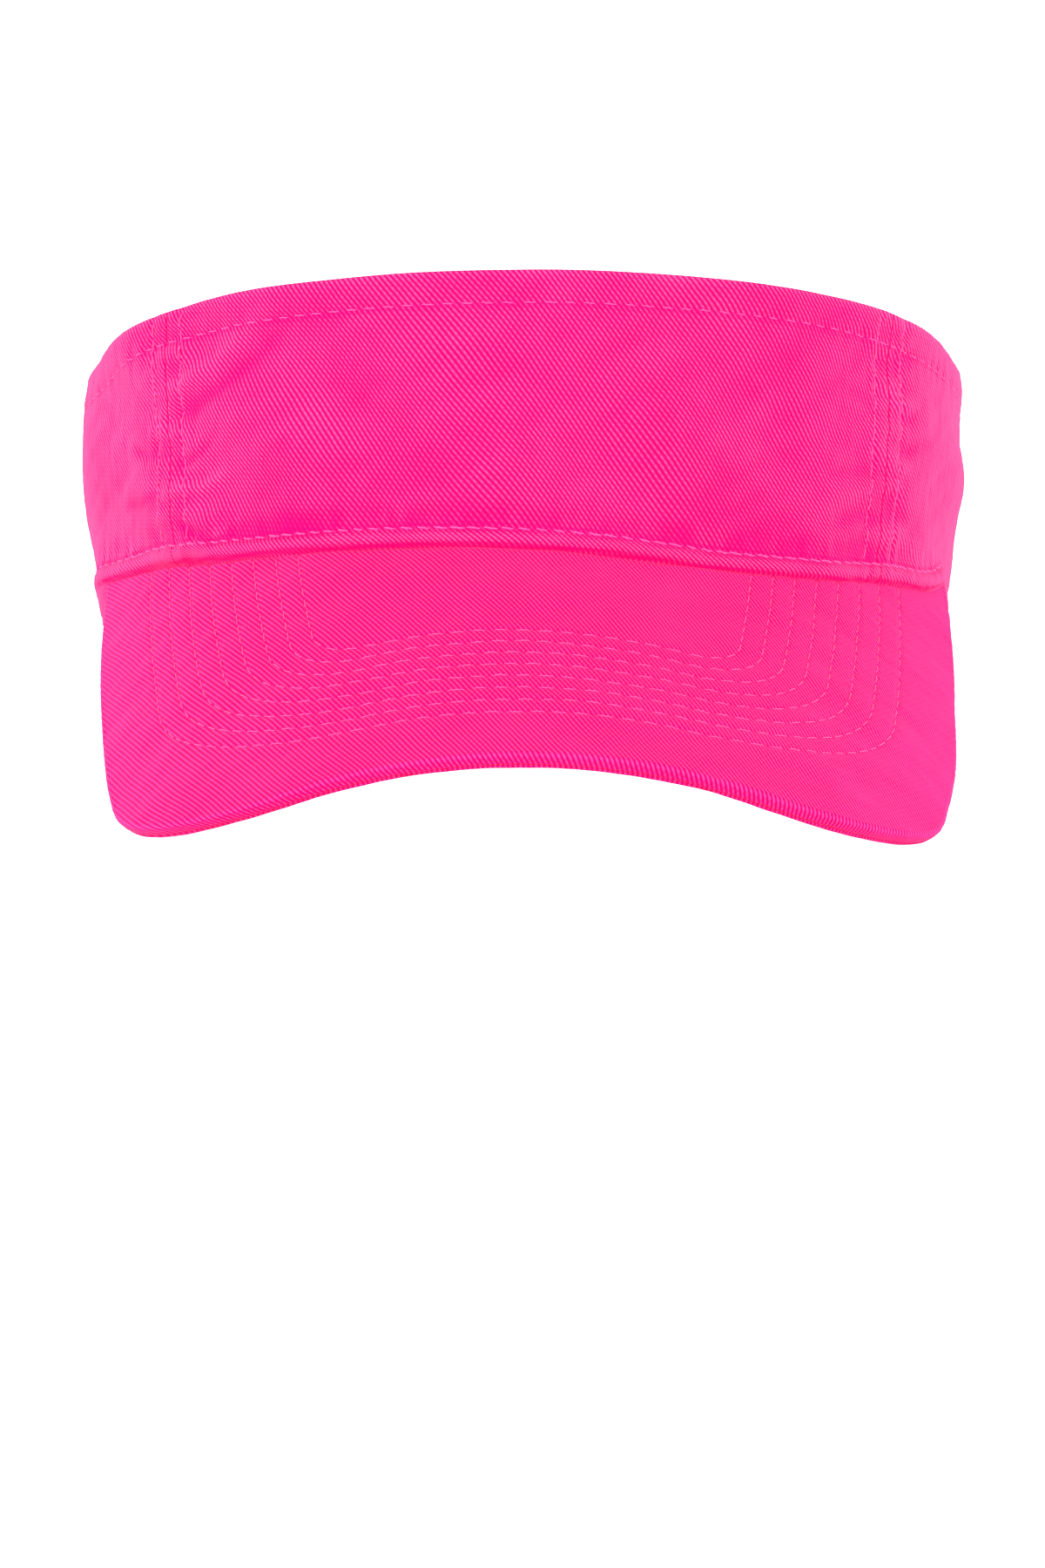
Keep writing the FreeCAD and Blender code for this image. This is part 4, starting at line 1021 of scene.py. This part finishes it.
def make_band_stitching():
    around = np.arange(RIGHT_AROUND + 1.5, LEFT_AROUND - 1.5, 0.5)
    hem = band_line(around, top_height(around) - HEM_STITCH)
    thread_piece("top_edge_stitching", [hem], ["top_edge_stitching"], pitch=3.9, radius=0.12,
                 lift=0.01, dip=0.3, slant=0.3, seed=51, body_shape=0.8)
    lower = band_line(around, lower_line(around) + LOWER_STITCH)
    thread_piece("lower_edge_stitching", [lower], ["lower_edge_stitching"], pitch=3.3,
                 radius=0.19, lift=0.12, dip=0.36, slant=0.5, seed=52, body_shape=0.8)
    for name, sign in (("left", 1), ("right", -1)):
        lines = []
        for offset in (-SIDE_STITCH, SIDE_STITCH):
            place = sign * SEAM_AROUND + offset
            low = float(lower_line(np.array(place))) + LOWER_STITCH + 0.8
            high = float(top_height(np.array(place))) - 0.8
            height = np.arange(low, high, 0.5)
            lines.append(band_line(np.full(len(height), place), height))
        label = f"{name}_side_seam_stitching"
        thread_piece(label, lines, [label], pitch=3.3, radius=0.13, lift=0.1, dip=0.3,
                     slant=0.3, seed=53)
    around = np.arange(-around_at(SWEATBAND_RIGHT_END) + 2, LEFT_AROUND - 2, 0.5)
    height = bottom_height(around) + SWEATBAND_HEIGHT - 3.2
    points = to_row(wall(around, height, -4.35))
    normals = -wall_normal(around) @ BAND_AXES
    thread_piece("sweatband_stitching", [(points, normals)], ["sweatband_stitching"], pitch=2.6,
                 radius=0.2, lift=0.12, dip=0.3, slant=1.6, seed=54)


# --- the closure ---


def back_point(angle, height, offset):
    """A point on the back of the wall, at degrees from its centre towards the wearer's right."""
    turn = np.radians(angle)
    reach = HALF_WIDTH + FLARE * height + offset
    return stack(-reach * np.sin(turn), reach * np.cos(turn), height)


def make_strap():
    step = 0.8
    length = math.radians(STRAP_SPAN[1] - STRAP_SPAN[0]) * HALF_WIDTH
    along = spaced(length, step)
    across = spaced(STRAP_WIDTH, 0.5)
    angle = STRAP_SPAN[0] + np.degrees(along / HALF_WIDTH)
    height = STRAP_HEIGHT - STRAP_WIDTH / 2 + across
    angle_grid, height_grid = np.meshgrid(angle, height)
    from_edge = np.minimum(height_grid - height[0], height[-1] - height_grid)
    from_end = np.minimum(along, length - along)[None, :]
    drop = rounded(np.minimum(from_edge, from_end), 0.5)
    groove = 0.06 * bump(from_edge - 1.7, 0.35)
    outer = back_point(angle_grid, height_grid, STRAP_TOP - drop - groove)
    inner = back_point(angle_grid, height_grid, STRAP_TOP - STRAP_THICKNESS + drop)
    uv = stack(np.broadcast_to(-along, angle_grid.shape), height_grid)
    # Paler along the strap's rounded edges.
    painted_light_and_wear = 0.5 * bump(from_edge, 0.5)
    shell("strap", outer[:, ::-1], inner[:, ::-1], uv[:, ::-1], STRAP_TWILL,
          ["strap"], body="strap", painted_light_and_wear=painted_light_and_wear[:, ::-1])
    lines = []
    angles = np.linspace(STRAP_SPAN[0] + 1, STRAP_SPAN[1] - 1, 300)
    for side in (-1, 1):
        level = STRAP_HEIGHT + side * (STRAP_WIDTH / 2 - 1.7)
        points = to_row(back_point(angles, np.full(300, level), STRAP_TOP - 0.03))
        out = stack(-np.sin(np.radians(angles)), np.cos(np.radians(angles)), -FLARE)
        lines.append((points, unit(out) @ BAND_AXES))
    thread_piece("strap_stitching", lines, ["strap_stitching"], pitch=3.2, radius=0.12,
                 body="strap", lift=0.06, dip=0.2, slant=0.1, seed=61)


def closure_frame():
    """Origin on the wall at the buckle, and the X, Y (outwards) and Z axes there."""
    turn = math.radians(BUCKLE_ANGLE)
    lean = math.atan(FLARE)
    reach = HALF_WIDTH + STRAP_HEIGHT * FLARE
    origin = np.array((-reach * math.sin(turn), reach * math.cos(turn), STRAP_HEIGHT))
    along = np.array((math.cos(turn), math.sin(turn), 0.0))
    up = np.array((-math.sin(turn) * math.sin(lean), math.cos(turn) * math.sin(lean), math.cos(lean)))
    return origin, np.stack((along, np.cross(up, along), up))


def make_tab():
    """A doubled strip of cloth that loops round the buckle's rear bar."""
    origin, axes = closure_frame()
    radius = HALF_WIDTH + STRAP_HEIGHT * FLARE
    bar_x, ply, width = -8.2, 0.52, 16.0
    bar_y = STRAP_TOP - STRAP_THICKNESS - bar_x**2 / (2 * radius) - 1.35 - 0.2
    loop = 0.75 + ply / 2
    reach = radius - 2.7 - ply / 2
    far = math.radians(18.2)
    near = math.asin((-bar_x + 0.6) / reach)
    upper = [(-reach * math.sin(a), reach * math.cos(a) - radius) for a in np.linspace(far, near, 24)]
    reach -= ply + 0.06
    lower = [(-reach * math.sin(a), reach * math.cos(a) - radius) for a in np.linspace(near, far, 24)]
    turns = np.radians(np.linspace(80, -85, 18))
    bend = [(bar_x + loop * math.cos(a), bar_y + loop * math.sin(a)) for a in turns]
    path = np.array(upper + bend + lower)
    steps = np.linalg.norm(np.diff(path, axis=0), axis=1)
    length = np.concatenate(((0.0,), np.cumsum(steps)))
    tangent = unit(np.gradient(path, axis=0))
    normal = stack(-tangent[:, 1], tangent[:, 0])
    across = spaced(width, 0.8)
    z = (across - width / 2)[:, None]
    drop = rounded(np.minimum(across, width - across), 0.24)[:, None]
    faces = []
    for side in (1, -1):
        shift = side * (ply / 2 - drop)
        x = path[None, :, 0] + normal[None, :, 0] * shift
        y = path[None, :, 1] + normal[None, :, 1] * shift
        local = stack(x, y, z * np.ones_like(x))
        faces.append(local @ axes + origin)
    uv = stack(length[None, :] * np.ones_like(z), z * np.ones((1, len(length))))
    shell("buckle_tab", faces[1], faces[0], uv, STRAP_TWILL, ["buckle_tab"])

    lines = []
    for centre in (14.5 - 1.7, 14.5 + 1.7):
        height = np.linspace(-6, 6, 60)
        zigzag = centre + 0.55 * np.where(np.arange(60) % 2 == 0, -1.0, 1.0)
        turn = np.radians(zigzag * 0.62 + 3.5)
        reach = radius - 2.7 - 2 * ply - 0.12
        x, y = -reach * np.sin(turn), reach * np.cos(turn) - radius
        points = to_row(stack(x, y, height) @ axes + origin)
        normals = (-stack(np.sin(-turn), np.cos(turn), 0 * turn)) @ axes @ BAND_AXES
        lines.append((points, normals))
    thread_piece("tab_bar_tacks", lines, ["tab_bar_tacks"], pitch=40.0, radius=0.16, lift=0.0,
                 dip=0.0, seed=62)


def finish_buckle():
    """The buckle keeps its CAD shape, with softened edges and antiqued metal."""
    for name in ("buckle_frame", "buckle_lever", "buckle_pin"):
        piece = frame["nodes"][name]
        piece.data.materials.clear()
        piece.data.materials.append(BRASS)
        edges = piece.modifiers.new("soft_edges", "BEVEL")
        edges.width = 0.00012
        edges.segments = 2
        edges.limit_method = "ANGLE"
        edges.angle_limit = math.radians(40)


# --- stage ---


def make_stage():
    white = Shader("studio_floor")
    diffuse = white.node("ShaderNodeBsdfDiffuse", Color=(0.8, 0.8, 0.8, 1.0))
    seen = white.node("ShaderNodeLightPath").outputs["Is Camera Ray"]
    glow = white.node("ShaderNodeEmission", Color=(1.0, 1.0, 1.0, 1.0))
    white.plug(glow.inputs["Strength"], white.math("MULTIPLY", seen, 0.9))
    both = white.node("ShaderNodeAddShader")
    white.tree.links.new(diffuse.outputs[0], both.inputs[0])
    white.tree.links.new(glow.outputs[0], both.inputs[1])
    out = white.node("ShaderNodeOutputMaterial")
    white.tree.links.new(both.outputs[0], out.inputs["Surface"])
    mesh = bpy.data.meshes.new("floor")
    size = 6.0
    mesh.from_pydata(
        [(-size, -size, 0), (size, -size, 0), (size, size, 0), (-size, size, 0)], [], [(0, 1, 2, 3)]
    )
    mesh.materials.append(white.material)
    floor = bpy.data.objects.new("floor", mesh)
    bpy.context.scene.collection.objects.link(floor)

    world = bpy.data.worlds.new("studio")
    world.use_nodes = True
    tree = world.node_tree
    shown = tree.nodes["Background"]
    shown.inputs["Color"].default_value = (1.0, 1.0, 1.0, 1.0)
    path = tree.nodes.new("ShaderNodeLightPath")
    level = tree.nodes.new("ShaderNodeMapRange")
    level.inputs["To Min"].default_value = AMBIENT
    level.inputs["To Max"].default_value = 1.0
    tree.links.new(path.outputs["Is Camera Ray"], level.inputs["Value"])
    tree.links.new(level.outputs[0], shown.inputs["Strength"])
    bpy.context.scene.world = world


def make_light(name, place, target, size, power):
    lamp = bpy.data.lights.new(name, "AREA")
    lamp.shape = "DISK"
    lamp.size = size
    lamp.energy = power
    light = bpy.data.objects.new(name, lamp)
    bpy.context.scene.collection.objects.link(light)
    light.location = place
    aim = Vector(target) - Vector(place)
    light.rotation_euler = aim.to_track_quat("-Z", "Y").to_euler()


def make_camera():
    """The long lens looks slightly down at the visor's front, and is shifted to place it high."""
    elevation = math.radians(9.37)
    yaw = math.radians(0.32)
    distance = 1.298
    target = BAND_ORIGIN
    place = target + distance * np.array(
        (-math.sin(yaw) * math.cos(elevation), -math.cos(yaw) * math.cos(elevation), math.sin(elevation))
    )
    camera = bpy.data.cameras.new("camera")
    camera.lens = 145.2
    camera.sensor_width = 36.0
    camera.shift_x = -0.0015
    camera.shift_y = -0.0991
    holder = bpy.data.objects.new("camera", camera)
    bpy.context.scene.collection.objects.link(holder)
    holder.location = place
    aim = Vector(target - place).to_track_quat("-Z", "Y")
    holder.rotation_mode = "QUATERNION"
    holder.rotation_quaternion = aim @ Quaternion((0.0, 0.0, 1.0), math.radians(0.47))
    bpy.context.scene.camera = holder


make_panels()
make_linings()
make_bill_top()
make_bill_bottom()
make_bill_welt()
make_bill_board()
make_bill_stitching()
make_band_stitching()
make_strap()
make_tab()
finish_buckle()
make_stage()
make_light("left_box", (-1.25, -0.75, 0.45), (0, -0.03, 0.05), 0.7, 24.0)
make_light("right_box", (1.25, -0.65, 0.4), (0, -0.03, 0.05), 0.7, 18.0)
make_light("front_box", (0.1, -1.5, 0.15), (0, -0.03, 0.05), 0.6, 9.0)
make_light("back_box", (0.2, 1.2, 1.1), (0, 0.03, 0.05), 0.8, 8.0)
make_camera()
bpy.context.scene.view_settings.view_transform = "Standard"
